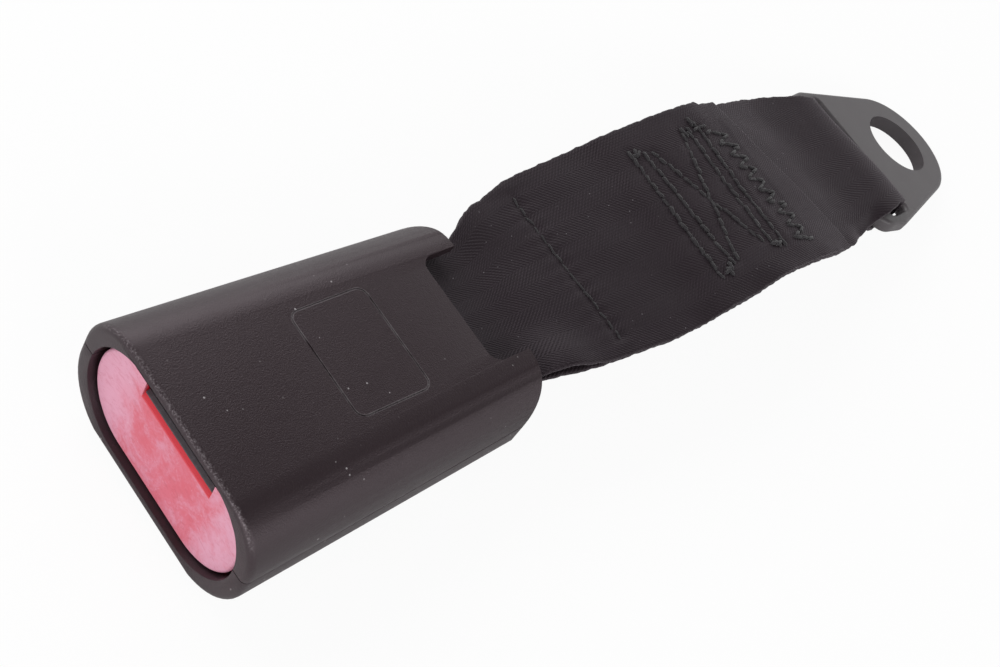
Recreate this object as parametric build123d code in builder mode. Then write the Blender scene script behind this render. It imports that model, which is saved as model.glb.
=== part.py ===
from build123d import *
from math import atan2, cos, degrees, hypot, radians, sin
import os

# Seat belt buckle on a short sewn webbing stalk that ends in a bolted anchor plate.
# Origin: centre of the anchor plate's bolt hole, at half the plate's thickness.
# +X runs from the buckle's mouth to the plate's nose, +Z is up. Sizes in millimetres.

# Anchor plate: a flat steel plate that leans nose down by plate_pitch
bolt_hole_r = 9.5
plate_thick = 4.0
plate_nose_r = 16.5
plate_half_width = 22.4
plate_shoulder_back = 26.0
plate_corner_r = 5.0
plate_edge_r = 1.2
plate_pitch = 12.3
slot_back = 21.0
slot_length = 9.0
slot_side = 1.0
slot_corner_r = 1.6
anchor_bar_depth = 6.0

# Webbing: one length of belt, folded round a bar at each end and sewn to itself
web_width = 48.0
ply = 1.25
ply_gap = 0.05
anchor_eye_half = 18.0
exit_side = 0.6
eye_clear = 0.3
eye_slot_clear = 0.8
strap_start = 76.0
strap_start_rise = 0.1
strap_heights = (
    (100.0, 20.6),
    (120.0, 21.5),
    (140.0, 22.2),
    (150.0, 22.6),
    (160.0, 22.1),
    (172.0, 19.7),
    (190.0, 15.3),
)
full_width_start = 96.0
full_width_end = 187.0

# Casing: two moulded shells, tapering from the mouth to the rear
mouth_to_hole = 239.5
casing_length = 77.2
mouth_side_room = 11.6
rear_side_room = 4.65
top_room = 8.2
top_taper = 4.1
top_edge_r = 11.5
side_flat = 0.5
base_cut = 0.3
hollow_ease = 0.8
rear_corner_r = 7.8
rim_r = 1.5
side_wall = 2.2
top_wall = 2.0
mouth_side_wall = 3.6
mouth_top_wall = 2.2
mouth_bottom_wall = 2.6
opening_flat = 0.2
parting_drop = 13.0
sill_drop = 5.6
rear_opening_side = 1.4
notch_line = 67.2
notch_half = 10.4
notch_end_half = 15.8
notch_corner_r = 3.0
label_length = 18.9
label_width = 25.0
label_middle = 41.8
label_corner_r = 2.4
label_line = 0.35
label_depth = 0.25
post_r = 2.0
snap_front_at = 20.0
snap_rear_at = 45.0
snap_length = 5.0
snap_side = 5.0
snap_root_in = 3.0
snap_thick = 1.2
snap_rise = 2.7
snap_drop = 4.8

# Steel frame: a base plate with side walls folded down and a bar for the webbing
base_top_height = 21.6
frame_thick = 2.2
frame_front = 11.0
frame_half = 16.0
frame_flare = 4.2
bar_end_wall = 2.6
joggle_start = 52.5
joggle_end = 56.0
bar_drop = 4.0
frame_slot_side = 0.6
buckle_bar_at = 62.0
buckle_bar_depth = 5.0
sleeve_r = 3.1
wall_front = 20.0
wall_rear = 50.0
wall_foot_height = 5.0
wall_nose_drop = 5.4
pad_thick = 0.8
pad_length = 6.0
pad_width = 2.4
pad_front_at = 28.0
pad_rear_at = 46.0
sleeve_end_clear = 0.2
sleeve_slit = 0.8
wall_nose_slope = 4.0

# Tongue that the buckle takes, and the plastic guide that leads it in
tongue_width = 21.5
tongue_side = 0.45
guide_floor = 1.0
guide_wall = 1.6
guide_height = 4.6
guide_rear = 20.0
guide_front = 3.2
ramp_lift = 0.15
ramp_chamfer = 0.4
rail_clear = 0.6

# Button and what it moves
button_travel = 6.0
button_set_back = 1.4
button_side_gap = 1.1
button_low_gap = 0.8
button_high_gap = 0.7
button_end_ease = 0.8
button_plate = 2.6
button_skirt = 1.6
button_skirt_rear = 9.0
button_notch_side = 0.2
button_edge_r = 0.8
skirt_clear = 1.4
arm_thick = 2.2
arm_clear = 0.7
arm_below_bar = 3.3
arm_above_bar = 3.2
arm_rear = 40.0
run_clear = 0.05
slide_clear = 0.2

# Ejector: the fork that pushes the tongue out again
ejector_front = 21.0
ejector_half = 9.5
ejector_arm = 8.0
ejector_back = 3.0
ejector_height = 3.2
ejector_travel = 12.0
foot_inner = 5.9
foot_outer = 8.1
foot_front = 24.0
foot_length = 5.0
foot_hook = 1.1
foot_hook_thick = 0.7

# Latch: the lever whose nose locks the tongue
pivot_at = 46.0
pivot_drop = 4.9
pivot_r = 1.5
boss_r = 3.2
coil_room = 4.8
latch_arm_half = 5.0
nose_front = 24.0
nose_length = 4.0
nose_half = 3.5
nose_sunk = 0.2
latch_arm_sunk = 0.2
latch_arm_drop = 3.4
latch_arm_break = 10.0
heel_below_bar = 1.8
heel_length = 5.0
window_clear = 0.5
latch_swing_room = 4.5
window_ahead = 1.7

# Lock bar: the rod that blocks the latch's heel
lock_bar_r = 1.6
lock_bar_rise = 3.8
lock_bar_at = 36.0
lock_travel = 8.4
lock_bar_past_arm = 0.6
lock_bar_chamfer = 0.3
pin_head_r = 2.2
pin_head = 0.6

# Springs
button_spring_r = 2.0
button_spring_wire = 0.5
lock_spring_r = 1.7
lock_spring_wire = 0.4
lock_spring_clear = 0.8
ejector_spring_r = 1.4
ejector_spring_wire = 0.35
latch_spring_r = 2.5
latch_spring_wire = 0.7
carrier_depth = 4.0
carrier_below_spring = 0.15
carrier_drop = 3.9
carrier_corner_r = 3.0
carrier_top_r = 1.0
carrier_side = 3.9
carrier_foot_half = 12.0
spring_tab_height = 3.0
spring_tab_half = 3.0
spring_tab_thick = 1.4

# Stitching
thread_width = 0.8
thread_height = 0.35
stitch_length = 2.4
stitch_pitch = 3.3
tack_at = 101.0
tack_half = 19.5
box_start = 134.5
box_end = 168.0
box_half = 18.0
cut_end_at = 175.0
return_end_at = 127.0
zig_count = 7
row_gap = 4.7
zig_near = 6.5
zig_far = 0.5
rear_rows = (14.0, 9.0)
diagonal_gap = 1.5
crossing_gap = 3.0
zig_end_gap = 0.9

os.makedirs("parts", exist_ok=True)

# Places that follow from the sizes
pitch = radians(plate_pitch)
mouth_width = 2 * (frame_half + mouth_side_room)
mouth_height = base_top_height + top_room
frame_rear_half = frame_half + frame_flare
frame_slot_half = frame_rear_half - bar_end_wall
buckle_eye_half = frame_slot_half - frame_slot_side
rear_width = 2 * (frame_rear_half + rear_side_room)
rear_height = mouth_height - top_taper
bottom_edge_r = rear_height - top_edge_r - side_flat
opening_height = mouth_height - mouth_top_wall - mouth_bottom_wall
mouth_opening_r = (opening_height - opening_flat) / 2
bar_height = base_top_height - bar_drop
parting_height = mouth_height - parting_drop
exit_half = buckle_eye_half + exit_side
button_half = mouth_width / 2 - mouth_side_wall - button_side_gap
button_end_r = mouth_opening_r - button_end_ease
low_nose_x = plate_nose_r - plate_edge_r
low_nose_z = plate_thick / 2 - plate_edge_r
floor_z = -(low_nose_x * sin(pitch) + low_nose_z * cos(pitch) + plate_edge_r)
mouth_x = -mouth_to_hole
rear_x = mouth_x + casing_length
base_top = floor_z + base_top_height
base_low = base_top - frame_thick
bar_x = mouth_x + buckle_bar_at
bar_z = floor_z + bar_height
pivot_x = mouth_x + pivot_at
pivot_z = base_low - pivot_drop
wall_end_x = mouth_x + wall_rear
tongue_half = tongue_width / 2 + tongue_side
anchor_bar_back = slot_back + slot_length + anchor_bar_depth / 2
anchor_bar_x = -anchor_bar_back * cos(pitch)
anchor_bar_z = anchor_bar_back * sin(pitch)
anchor_bar_reach = plate_edge_r + hypot(anchor_bar_depth / 2 - plate_edge_r, plate_thick / 2 - plate_edge_r)
anchor_eye_r = anchor_bar_reach + eye_clear
buckle_eye_r = sleeve_r + eye_clear
slot_half = anchor_eye_half + slot_side
arm_inner = frame_half + arm_clear
arm_outer = arm_inner + arm_thick
lock_bar_x = mouth_x + lock_bar_at
lock_bar_z = floor_z + wall_foot_height + lock_bar_rise
arm_low_z = lock_bar_z - arm_below_bar
arm_high_z = lock_bar_z + arm_above_bar
boss_half = frame_half - frame_thick - coil_room
shell_taper = (mouth_height - rear_height) / casing_length
roof_at_mouth = floor_z + mouth_height - mouth_top_wall
roof_at_rear = floor_z + rear_height - top_wall


def across(x):
    """Plane across the casing at x, with its own x along +Y and its own y along +Z."""
    return Plane(origin=(x, 0, 0), x_dir=(0, 1, 0), z_dir=(1, 0, 0))


def rounded_outline(width, low, high, low_r, high_r):
    """Face with its own radius on the lower and the upper pair of corners."""
    half = width / 2
    corners = [(-half, low), (half, low), (half, high), (-half, high)]
    with BuildLine() as outline:
        FilletPolyline(*corners, radius=[low_r, low_r, high_r, high_r], close=True)
    make_face(outline.edges())


def block(x0, x1, y0, y1, z0, z1, mode=Mode.ADD):
    """Box between two corners, inside the active part."""
    middle = Location(((x0 + x1) / 2, (y0 + y1) / 2, (z0 + z1) / 2))
    with Locations(middle):
        Box(x1 - x0, y1 - y0, z1 - z0, mode=mode)


def cross_rod(x, z, radius, y0, y1, mode=Mode.ADD):
    """Round rod along Y, inside the active part."""
    with Locations(Location((x, (y0 + y1) / 2, z), (90, 0, 0))):
        Cylinder(radius, y1 - y0, mode=mode)


def side_plate(side, inner, thick):
    """Plane at the +Y face of an upright wall of one side; extruding by thick fills the wall."""
    return Plane.XZ.offset(-(inner + thick) if side > 0 else inner)


def roof(x):
    """Height of the upper shell's inner roof at x."""
    return roof_at_mouth + (roof_at_rear - roof_at_mouth) * (x - mouth_x) / casing_length


def coil_spring(start, length, radius, wire, turns, along=(1, 0, 0)):
    """Open helical spring whose wire ends just inside its length."""
    first = Vector(*start) + Vector(*along) * (wire / 2)
    with BuildPart() as spring:
        with BuildLine() as path:
            Helix((length - wire) / turns, length - wire, radius - wire / 2, center=first, direction=along)
        with BuildSketch(Plane(origin=path.line @ 0, z_dir=path.line % 0)):
            Circle(wire / 2)
        sweep(path=path.line, is_frenet=True)
    return spring.part


# Outer form and hollow that the two shells share
with BuildPart() as casing_form:
    with BuildSketch(across(mouth_x)):
        rounded_outline(mouth_width, floor_z - base_cut, floor_z + mouth_height, bottom_edge_r, top_edge_r)
    with BuildSketch(across(rear_x)):
        rounded_outline(rear_width, floor_z - base_cut, floor_z + rear_height, bottom_edge_r, top_edge_r)
    loft(ruled=True)
    fillet(casing_form.faces().sort_by(Axis.X)[0].edges(), rim_r)
    with BuildSketch(Plane.XY.offset(floor_z)):
        with BuildLine():
            FilletPolyline(
                (mouth_x, -mouth_width / 2),
                (rear_x, -rear_width / 2),
                (rear_x, rear_width / 2),
                (mouth_x, mouth_width / 2),
                radius=rear_corner_r,
            )
            Line((mouth_x, mouth_width / 2), (mouth_x, -mouth_width / 2))
        make_face()
    extrude(amount=mouth_height, mode=Mode.INTERSECT)

with BuildPart() as casing_hollow:
    with BuildSketch(across(mouth_x)):
        rounded_outline(
            mouth_width - 2 * mouth_side_wall,
            floor_z + mouth_bottom_wall,
            roof_at_mouth,
            mouth_opening_r,
            mouth_opening_r,
        )
    with BuildSketch(across(rear_x)):
        rounded_outline(
            rear_width - 2 * side_wall,
            floor_z + side_wall,
            roof_at_rear,
            bottom_edge_r - side_wall - hollow_ease,
            top_edge_r - side_wall,
        )
    loft(ruled=True)
    with BuildSketch(Plane.XY.offset(floor_z)):
        with BuildLine():
            FilletPolyline(
                (mouth_x, -mouth_width / 2 + mouth_side_wall),
                (rear_x - side_wall, -rear_width / 2 + side_wall),
                (rear_x - side_wall, rear_width / 2 - side_wall),
                (mouth_x, mouth_width / 2 - mouth_side_wall),
                radius=rear_corner_r - side_wall,
            )
            Line(
                (mouth_x, mouth_width / 2 - mouth_side_wall),
                (mouth_x, -mouth_width / 2 + mouth_side_wall),
            )
        make_face()
    extrude(amount=mouth_height, mode=Mode.INTERSECT)

# Shells: one moulding above the parting line and one below it
parting_z = floor_z + parting_height
opening_half = exit_half + rear_opening_side
post_x = mouth_x + wall_rear - post_r
post_y = frame_half - frame_thick - post_r
label_x = mouth_x + label_middle
label_z = floor_z + mouth_height - shell_taper * label_middle
label_lean = atan2(mouth_height - rear_height, casing_length)
label_plane = Plane(origin=(label_x, 0, label_z), z_dir=(sin(label_lean), 0, cos(label_lean)))

with BuildPart() as upper_shell:
    add(casing_form.part)
    add(casing_hollow.part, mode=Mode.SUBTRACT)
    block(mouth_x, rear_x, -mouth_width, mouth_width, floor_z - 1, parting_z, Mode.SUBTRACT)
    block(
        rear_x - rear_corner_r, rear_x + 1, -opening_half, opening_half,
        parting_z, roof(rear_x), Mode.SUBTRACT,
    )
    with BuildSketch(Plane.XY.offset(parting_z)):
        with BuildLine():
            FilletPolyline(
                (rear_x + 1, -notch_end_half),
                (mouth_x + notch_line, -notch_half),
                (mouth_x + notch_line, notch_half),
                (rear_x + 1, notch_end_half),
                radius=notch_corner_r,
            )
            Line((rear_x + 1, notch_end_half), (rear_x + 1, -notch_end_half))
        make_face()
    extrude(amount=mouth_height, mode=Mode.SUBTRACT)
    with BuildSketch(label_plane):
        RectangleRounded(label_length, label_width, label_corner_r)
        RectangleRounded(
            label_length - 2 * label_line,
            label_width - 2 * label_line,
            label_corner_r - label_line,
            mode=Mode.SUBTRACT,
        )
    extrude(amount=-label_depth, mode=Mode.SUBTRACT)
    for side in (-1, 1):
        with BuildSketch(Plane.XY.offset(base_top)):
            with Locations((post_x, side * post_y)):
                Circle(post_r)
        extrude(amount=roof(post_x) + top_wall / 2 - base_top)
upper_shell.part.label = "upper_shell"
export_step(upper_shell.part, "parts/upper_shell.step")

pad_top = floor_z + wall_foot_height
pad_y = frame_half - frame_thick / 2
carrier_x = wall_end_x
button_spring_z = (arm_low_z + arm_high_z) / 2
carrier_low_z = button_spring_z - button_spring_r - carrier_below_spring
carrier_high_z = base_low - carrier_drop
carrier_half = frame_half + carrier_side

with BuildPart() as lower_shell:
    add(casing_form.part)
    add(casing_hollow.part, mode=Mode.SUBTRACT)
    block(mouth_x, rear_x, -mouth_width, mouth_width, parting_z, parting_z + mouth_height, Mode.SUBTRACT)
    block(
        rear_x - rear_corner_r, rear_x + 1, -opening_half, opening_half,
        bar_z - sill_drop, parting_z + 1, Mode.SUBTRACT,
    )
    for side in (-1, 1):
        for station in (pad_front_at, pad_rear_at):
            x = mouth_x + station
            y = side * pad_y
            block(
                x - pad_length / 2, x + pad_length / 2, y - pad_width / 2, y + pad_width / 2,
                floor_z + side_wall / 2, pad_top - pad_thick,
            )
        for station in (snap_front_at, snap_rear_at):
            x = mouth_x + station
            root = side * (mouth_width / 2 - snap_root_in)
            face = side * (frame_half + snap_side)
            tip = side * (frame_half + snap_side - snap_thick)
            foot_z = parting_z - snap_drop
            block(x, x + snap_length, min(face, tip), max(face, tip), foot_z, parting_z + snap_rise)
            block(x, x + snap_length, min(face, root), max(face, root), foot_z, foot_z + snap_thick)
    block(
        carrier_x, carrier_x + carrier_depth, -carrier_foot_half, carrier_foot_half,
        floor_z + side_wall / 2, carrier_low_z,
    )
lower_shell.part.label = "lower_shell"
export_step(lower_shell.part, "parts/lower_shell.step")

# Steel frame
frame_rear_x = bar_x + buckle_bar_depth / 2
slot_front_x = bar_x - buckle_eye_r - ply - eye_slot_clear
joggle_x0 = mouth_x + joggle_start
joggle_x1 = mouth_x + joggle_end
front_x = mouth_x + frame_front
window_x0 = mouth_x + nose_front - window_ahead
window_x1 = mouth_x + nose_front + nose_length + latch_swing_room
track_x0 = mouth_x + foot_front - window_clear
track_x1 = track_x0 + foot_length + ejector_travel + 2 * window_clear
lock_slot_x0 = lock_bar_x - lock_travel - lock_bar_r - slide_clear
lock_slot_x1 = lock_bar_x + lock_bar_r + slide_clear
lock_slot_half = lock_bar_r + slide_clear
tab_x1 = joggle_x0 - 0.1
tab_x0 = tab_x1 - spring_tab_thick

with BuildPart() as buckle_frame:
    with BuildSketch(Plane.XZ):
        with BuildLine():
            Polyline(
                (front_x, base_top),
                (joggle_x0, base_top),
                (joggle_x1, bar_z + frame_thick / 2),
                (frame_rear_x, bar_z + frame_thick / 2),
                (frame_rear_x, bar_z - frame_thick / 2),
                (joggle_x1, bar_z - frame_thick / 2),
                (joggle_x0, base_low),
                (front_x, base_low),
                close=True,
            )
        make_face()
    extrude(amount=frame_rear_half, both=True)
    with BuildSketch(Plane.XY.offset(floor_z)):
        with BuildLine():
            Polyline(
                (front_x, -frame_half),
                (wall_end_x + 1, -frame_half),
                (joggle_x1 - 1, -frame_rear_half),
                (frame_rear_x, -frame_rear_half),
                (frame_rear_x, frame_rear_half),
                (joggle_x1 - 1, frame_rear_half),
                (wall_end_x + 1, frame_half),
                (front_x, frame_half),
                close=True,
            )
        make_face()
    extrude(amount=mouth_height, mode=Mode.INTERSECT)
    bar_front_x = bar_x - buckle_bar_depth / 2
    block(slot_front_x, bar_front_x, -frame_slot_half, frame_slot_half, floor_z, base_top, Mode.SUBTRACT)
    window_half = nose_half + window_clear
    block(window_x0, window_x1, -window_half, window_half, base_low, base_top, Mode.SUBTRACT)
    block(tab_x0, tab_x1, -spring_tab_half, spring_tab_half, base_top, base_top + spring_tab_height)
    for side in (-1, 1):
        with BuildSketch(side_plate(side, frame_half - frame_thick, frame_thick)):
            with BuildLine():
                Polyline(
                    (mouth_x + wall_front, base_low),
                    (mouth_x + wall_front, base_low - wall_nose_drop),
                    (mouth_x + wall_front + wall_nose_slope, pad_top),
                    (wall_end_x, pad_top),
                    (wall_end_x, base_low),
                    close=True,
                )
            make_face()
            with Locations(((lock_slot_x0 + lock_slot_x1) / 2, lock_bar_z)):
                SlotOverall(lock_slot_x1 - lock_slot_x0, 2 * lock_slot_half, mode=Mode.SUBTRACT)
            with Locations((pivot_x, pivot_z)):
                Circle(pivot_r, mode=Mode.SUBTRACT)
        extrude(amount=frame_thick)
        y0 = side * (foot_inner - slide_clear)
        y1 = side * (foot_outer + slide_clear)
        block(track_x0, track_x1, min(y0, y1), max(y0, y1), base_low, base_top, Mode.SUBTRACT)
buckle_frame.part.label = "buckle_frame"
export_step(buckle_frame.part, "parts/buckle_frame.step")

with BuildPart() as frame_pads:
    for side in (-1, 1):
        for station in (pad_front_at, pad_rear_at):
            x = mouth_x + station
            y = side * pad_y
            block(
                x - pad_length / 2, x + pad_length / 2, y - pad_width / 2, y + pad_width / 2,
                pad_top - pad_thick, pad_top,
            )
frame_pads.part.label = "frame_pads"
export_step(frame_pads.part, "parts/frame_pads.step")

# Split plastic sleeve that the webbing turns on
with BuildPart() as strap_bar_sleeve:
    sleeve_half = frame_slot_half - sleeve_end_clear
    cross_rod(bar_x, bar_z, sleeve_r, -sleeve_half, sleeve_half)
    block(
        bar_x - buckle_bar_depth / 2, bar_x + buckle_bar_depth / 2, -frame_rear_half, frame_rear_half,
        bar_z - frame_thick / 2, bar_z + frame_thick / 2, Mode.SUBTRACT,
    )
    block(
        bar_x - sleeve_slit / 2, bar_x + sleeve_slit / 2, -frame_rear_half, frame_rear_half,
        bar_z - sleeve_r, bar_z, Mode.SUBTRACT,
    )
strap_bar_sleeve.part.label = "strap_bar_sleeve"
export_step(strap_bar_sleeve.part, "parts/strap_bar_sleeve.step")

# Plastic guide: a ramp under the tongue and a rail at each side
guide_x0 = mouth_x + guide_front
guide_x1 = mouth_x + guide_rear
rail_x0 = mouth_x + button_set_back + button_plate + button_travel + rail_clear
with BuildPart() as tongue_guide:
    block(front_x, guide_x1, -tongue_half, tongue_half, base_top, base_top + guide_floor)
    block(guide_x0, front_x, -tongue_half, tongue_half, base_top + ramp_lift, base_top + guide_floor)
    for side in (-1, 1):
        y0 = side * tongue_half
        y1 = side * (tongue_half + guide_wall)
        block(rail_x0, guide_x1, min(y0, y1), max(y0, y1), base_top, base_top + guide_height)
    lip = tongue_guide.edges().filter_by(Axis.Y).group_by(Axis.X)[0].sort_by(Axis.Z)[-1]
    chamfer(lip, ramp_chamfer)
tongue_guide.part.label = "tongue_guide"
export_step(tongue_guide.part, "parts/tongue_guide.step")

# Release button: the red cap, its skirt and two arms that reach back beside the frame
button_x0 = mouth_x + button_set_back
button_x1 = button_x0 + button_plate
skirt_x1 = mouth_x + button_skirt_rear
button_low_z = floor_z + mouth_bottom_wall + button_low_gap
button_high_z = roof_at_mouth - button_high_gap
button_notch_half = tongue_half + button_notch_side
button_notch_z = base_top - 0.1
with BuildPart() as release_button:
    with BuildSketch(across(button_x0)):
        rounded_outline(2 * button_half, button_low_z, button_high_z, button_end_r, button_end_r)
    extrude(amount=button_plate)
    front_edge = release_button.faces().sort_by(Axis.X)[0].edges()
    fillet(front_edge, button_edge_r)
    with BuildSketch(across(button_x1)):
        rounded_outline(2 * button_half, button_low_z, button_high_z, button_end_r, button_end_r)
        offset(amount=-button_skirt, mode=Mode.SUBTRACT)
    extrude(amount=skirt_x1 - button_x1)
    block(
        button_x1, skirt_x1, -frame_half - slide_clear, frame_half + slide_clear,
        base_low - skirt_clear, floor_z + mouth_height, Mode.SUBTRACT,
    )
    block(
        button_x0, button_x1, -button_notch_half, button_notch_half,
        button_notch_z, floor_z + mouth_height, Mode.SUBTRACT,
    )
    for side in (-1, 1):
        with BuildSketch(side_plate(side, arm_inner, arm_thick)):
            with Locations(((button_x1 + mouth_x + arm_rear) / 2, (arm_low_z + arm_high_z) / 2)):
                Rectangle(mouth_x + arm_rear - button_x1, arm_high_z - arm_low_z)
            slot_x0 = lock_slot_x0 - button_travel
            with Locations(((slot_x0 + lock_slot_x1) / 2, lock_bar_z)):
                SlotOverall(lock_slot_x1 - slot_x0, 2 * lock_slot_half, mode=Mode.SUBTRACT)
        extrude(amount=arm_thick)
release_button.part.label = "release_button"
export_step(release_button.part, "parts/release_button.step")

# Ejector: a fork on the base plate, hooked through two tracks
ejector_x0 = mouth_x + ejector_front
ejector_x1 = ejector_x0 + ejector_arm + ejector_back
ejector_low = base_top + run_clear
with BuildPart() as ejector:
    block(ejector_x0, ejector_x1, -ejector_half, ejector_half, ejector_low, ejector_low + ejector_height)
    fork_half = nose_half + window_clear
    block(
        ejector_x0, ejector_x0 + ejector_arm, -fork_half, fork_half,
        ejector_low, ejector_low + ejector_height, Mode.SUBTRACT,
    )
    for side in (-1, 1):
        foot_x0 = mouth_x + foot_front
        y0 = side * foot_inner
        y1 = side * foot_outer
        y2 = side * (foot_outer + foot_hook)
        hook_top = base_low - run_clear
        block(foot_x0, foot_x0 + foot_length, min(y0, y1), max(y0, y1), hook_top, ejector_low)
        block(foot_x0, foot_x0 + foot_length, min(y0, y2), max(y0, y2), hook_top - foot_hook_thick, hook_top)
ejector.part.label = "ejector"
export_step(ejector.part, "parts/ejector.step")

# Latch: boss on the pivot pin, arm, nose and heel, cut from one thick blank
nose_x0 = mouth_x + nose_front
latch_arm_z = pivot_z - latch_arm_sunk
with BuildPart() as latch:
    cross_rod(pivot_x, pivot_z, boss_r, -boss_half, boss_half)
    with BuildSketch(Plane.XZ):
        with BuildLine():
            Polyline(
                (nose_x0, lock_bar_z - heel_below_bar),
                (nose_x0 + heel_length, lock_bar_z - heel_below_bar),
                (nose_x0 + heel_length, pivot_z - latch_arm_drop),
                (pivot_x, pivot_z - boss_r),
                (pivot_x, pivot_z + boss_r * 0.6),
                (pivot_x - latch_arm_break, latch_arm_z),
                (nose_x0, latch_arm_z),
                close=True,
            )
        make_face()
    extrude(amount=latch_arm_half, both=True)
    with BuildSketch(Plane.XZ):
        with BuildLine():
            Polyline(
                (nose_x0, latch_arm_z),
                (nose_x0 + nose_length, latch_arm_z),
                (nose_x0 + nose_length, base_top - nose_sunk),
                (nose_x0 + nose_length * 0.4, base_top - nose_sunk),
                (nose_x0, base_top - nose_sunk - nose_length * 0.4),
                close=True,
            )
        make_face()
    extrude(amount=nose_half, both=True)
    cross_rod(pivot_x, pivot_z, pivot_r + run_clear, -boss_half, boss_half, Mode.SUBTRACT)
latch.part.label = "latch"
export_step(latch.part, "parts/latch.step")

with BuildPart() as latch_pin:
    cross_rod(pivot_x, pivot_z, pivot_r, -frame_half, frame_half)
    for side in (-1, 1):
        y0 = side * frame_half
        y1 = side * (frame_half + pin_head)
        cross_rod(pivot_x, pivot_z, pin_head_r, min(y0, y1), max(y0, y1))
latch_pin.part.label = "latch_pin"
export_step(latch_pin.part, "parts/latch_pin.step")

# Lock bar through both walls and both button arms
lock_bar_half = arm_outer + lock_bar_past_arm
with BuildPart() as lock_bar:
    cross_rod(lock_bar_x, lock_bar_z, lock_bar_r, -lock_bar_half, lock_bar_half)
    chamfer(lock_bar.edges(), lock_bar_chamfer)
lock_bar.part.label = "lock_bar"
export_step(lock_bar.part, "parts/lock_bar.step")

# Spring carrier: plastic beam behind the frame's walls that seats the springs
with BuildPart() as spring_carrier:
    with BuildSketch(across(carrier_x)):
        rounded_outline(2 * carrier_half, carrier_low_z, carrier_high_z, carrier_corner_r, carrier_top_r)
    extrude(amount=carrier_depth)
spring_carrier.part.label = "spring_carrier"
export_step(spring_carrier.part, "parts/spring_carrier.step")

button_spring_y = frame_half + slide_clear + button_spring_r
arm_end_x = mouth_x + arm_rear
with BuildPart() as button_springs:
    for side in (-1, 1):
        start = (arm_end_x, side * button_spring_y, button_spring_z)
        add(coil_spring(start, carrier_x - arm_end_x, button_spring_r, button_spring_wire, 5))
button_springs.part.label = "button_springs"
export_step(button_springs.part, "parts/button_springs.step")

lock_spring_x0 = lock_bar_x + lock_bar_r
lock_spring_y = frame_half - frame_thick - lock_spring_r - lock_spring_clear
with BuildPart() as lock_springs:
    for side in (-1, 1):
        start = (lock_spring_x0, side * lock_spring_y, lock_bar_z)
        add(coil_spring(start, carrier_x - lock_spring_x0, lock_spring_r, lock_spring_wire, 7))
lock_springs.part.label = "lock_springs"
export_step(lock_springs.part, "parts/lock_springs.step")

ejector_spring_z = base_top + 0.1 + ejector_spring_r
with BuildPart() as ejector_spring:
    start = (ejector_x1, 0, ejector_spring_z)
    add(coil_spring(start, tab_x0 - ejector_x1, ejector_spring_r, ejector_spring_wire, 11))
ejector_spring.part.label = "ejector_spring"
export_step(ejector_spring.part, "parts/ejector_spring.step")

latch_coil_room = frame_half - frame_thick - boss_half - 2 * slide_clear
with BuildPart() as latch_spring:
    start = (pivot_x, boss_half + slide_clear, pivot_z)
    add(coil_spring(start, latch_coil_room, latch_spring_r, latch_spring_wire, 3.5, along=(0, 1, 0)))
latch_spring.part.label = "latch_spring"
export_step(latch_spring.part, "parts/latch_spring.step")

# Anchor plate
plate_plane = Plane(
    origin=(0, 0, 0),
    x_dir=(cos(pitch), 0, -sin(pitch)),
    z_dir=(sin(pitch), 0, cos(pitch)),
)
plate_rear = anchor_bar_back + anchor_bar_depth / 2
with BuildPart() as anchor_plate:
    with BuildSketch(plate_plane.offset(-plate_thick / 2)):
        Circle(plate_nose_r)
        shoulder_y = plate_half_width - plate_corner_r
        corners = [
            (-plate_shoulder_back, shoulder_y),
            (-plate_shoulder_back, -shoulder_y),
            (-plate_rear + plate_corner_r, shoulder_y - 0.6),
            (-plate_rear + plate_corner_r, 0.6 - shoulder_y),
        ]
        with Locations(*corners):
            Circle(plate_corner_r)
        make_hull()
        with Locations((-slot_back - slot_length / 2, 0)):
            RectangleRounded(slot_length, 2 * slot_half, slot_corner_r, mode=Mode.SUBTRACT)
    extrude(amount=plate_thick)
    flat_faces = anchor_plate.faces().filter_by(plate_plane)
    fillet(flat_faces.edges(), plate_edge_r)
    with BuildSketch(plate_plane.offset(-plate_thick / 2)):
        Circle(bolt_hole_r)
    extrude(amount=plate_thick, mode=Mode.SUBTRACT)
anchor_plate.part.label = "anchor_plate"
export_step(anchor_plate.part, "parts/anchor_plate.step")

# Webbing: the lower face's line from the buckle to the plate, seen from the side
two_plies = 2 * ply + 2 * ply_gap
third_ply = ply + ply_gap
strap_route = [(strap_start, bar_height + strap_start_rise), *strap_heights]


def lifted(points, rise):
    """Points measured from the mouth and the floor, in the part's frame and raised."""
    return [(mouth_x + x, floor_z + z + rise) for x, z in points]


def curve_at(curve, x):
    """Place and slope of a curve in the XZ plane at x."""
    low, high = 0.0, 1.0
    for _ in range(40):
        middle = (low + high) / 2
        if (curve @ middle).X < x:
            low = middle
        else:
            high = middle
    direction = curve % middle
    return curve @ middle, degrees(atan2(direction.Z, direction.X))


with BuildLine(Plane.XZ) as low_line:
    Spline(*lifted(strap_route, 0))
with BuildLine(Plane.XZ) as two_line:
    Spline(*lifted(strap_route, two_plies))
with BuildLine(Plane.XZ) as three_line:
    Spline(*lifted(strap_route, two_plies + third_ply))


def trimmed(curve, x0, x1):
    """Stretch of a curve between two stations, as a list of points."""
    steps = 8
    stations = [x0 + (x1 - x0) * i / steps for i in range(steps + 1)]
    return [((curve_at(curve, x)[0]).X, (curve_at(curve, x)[0]).Z) for x in stations]


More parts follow.
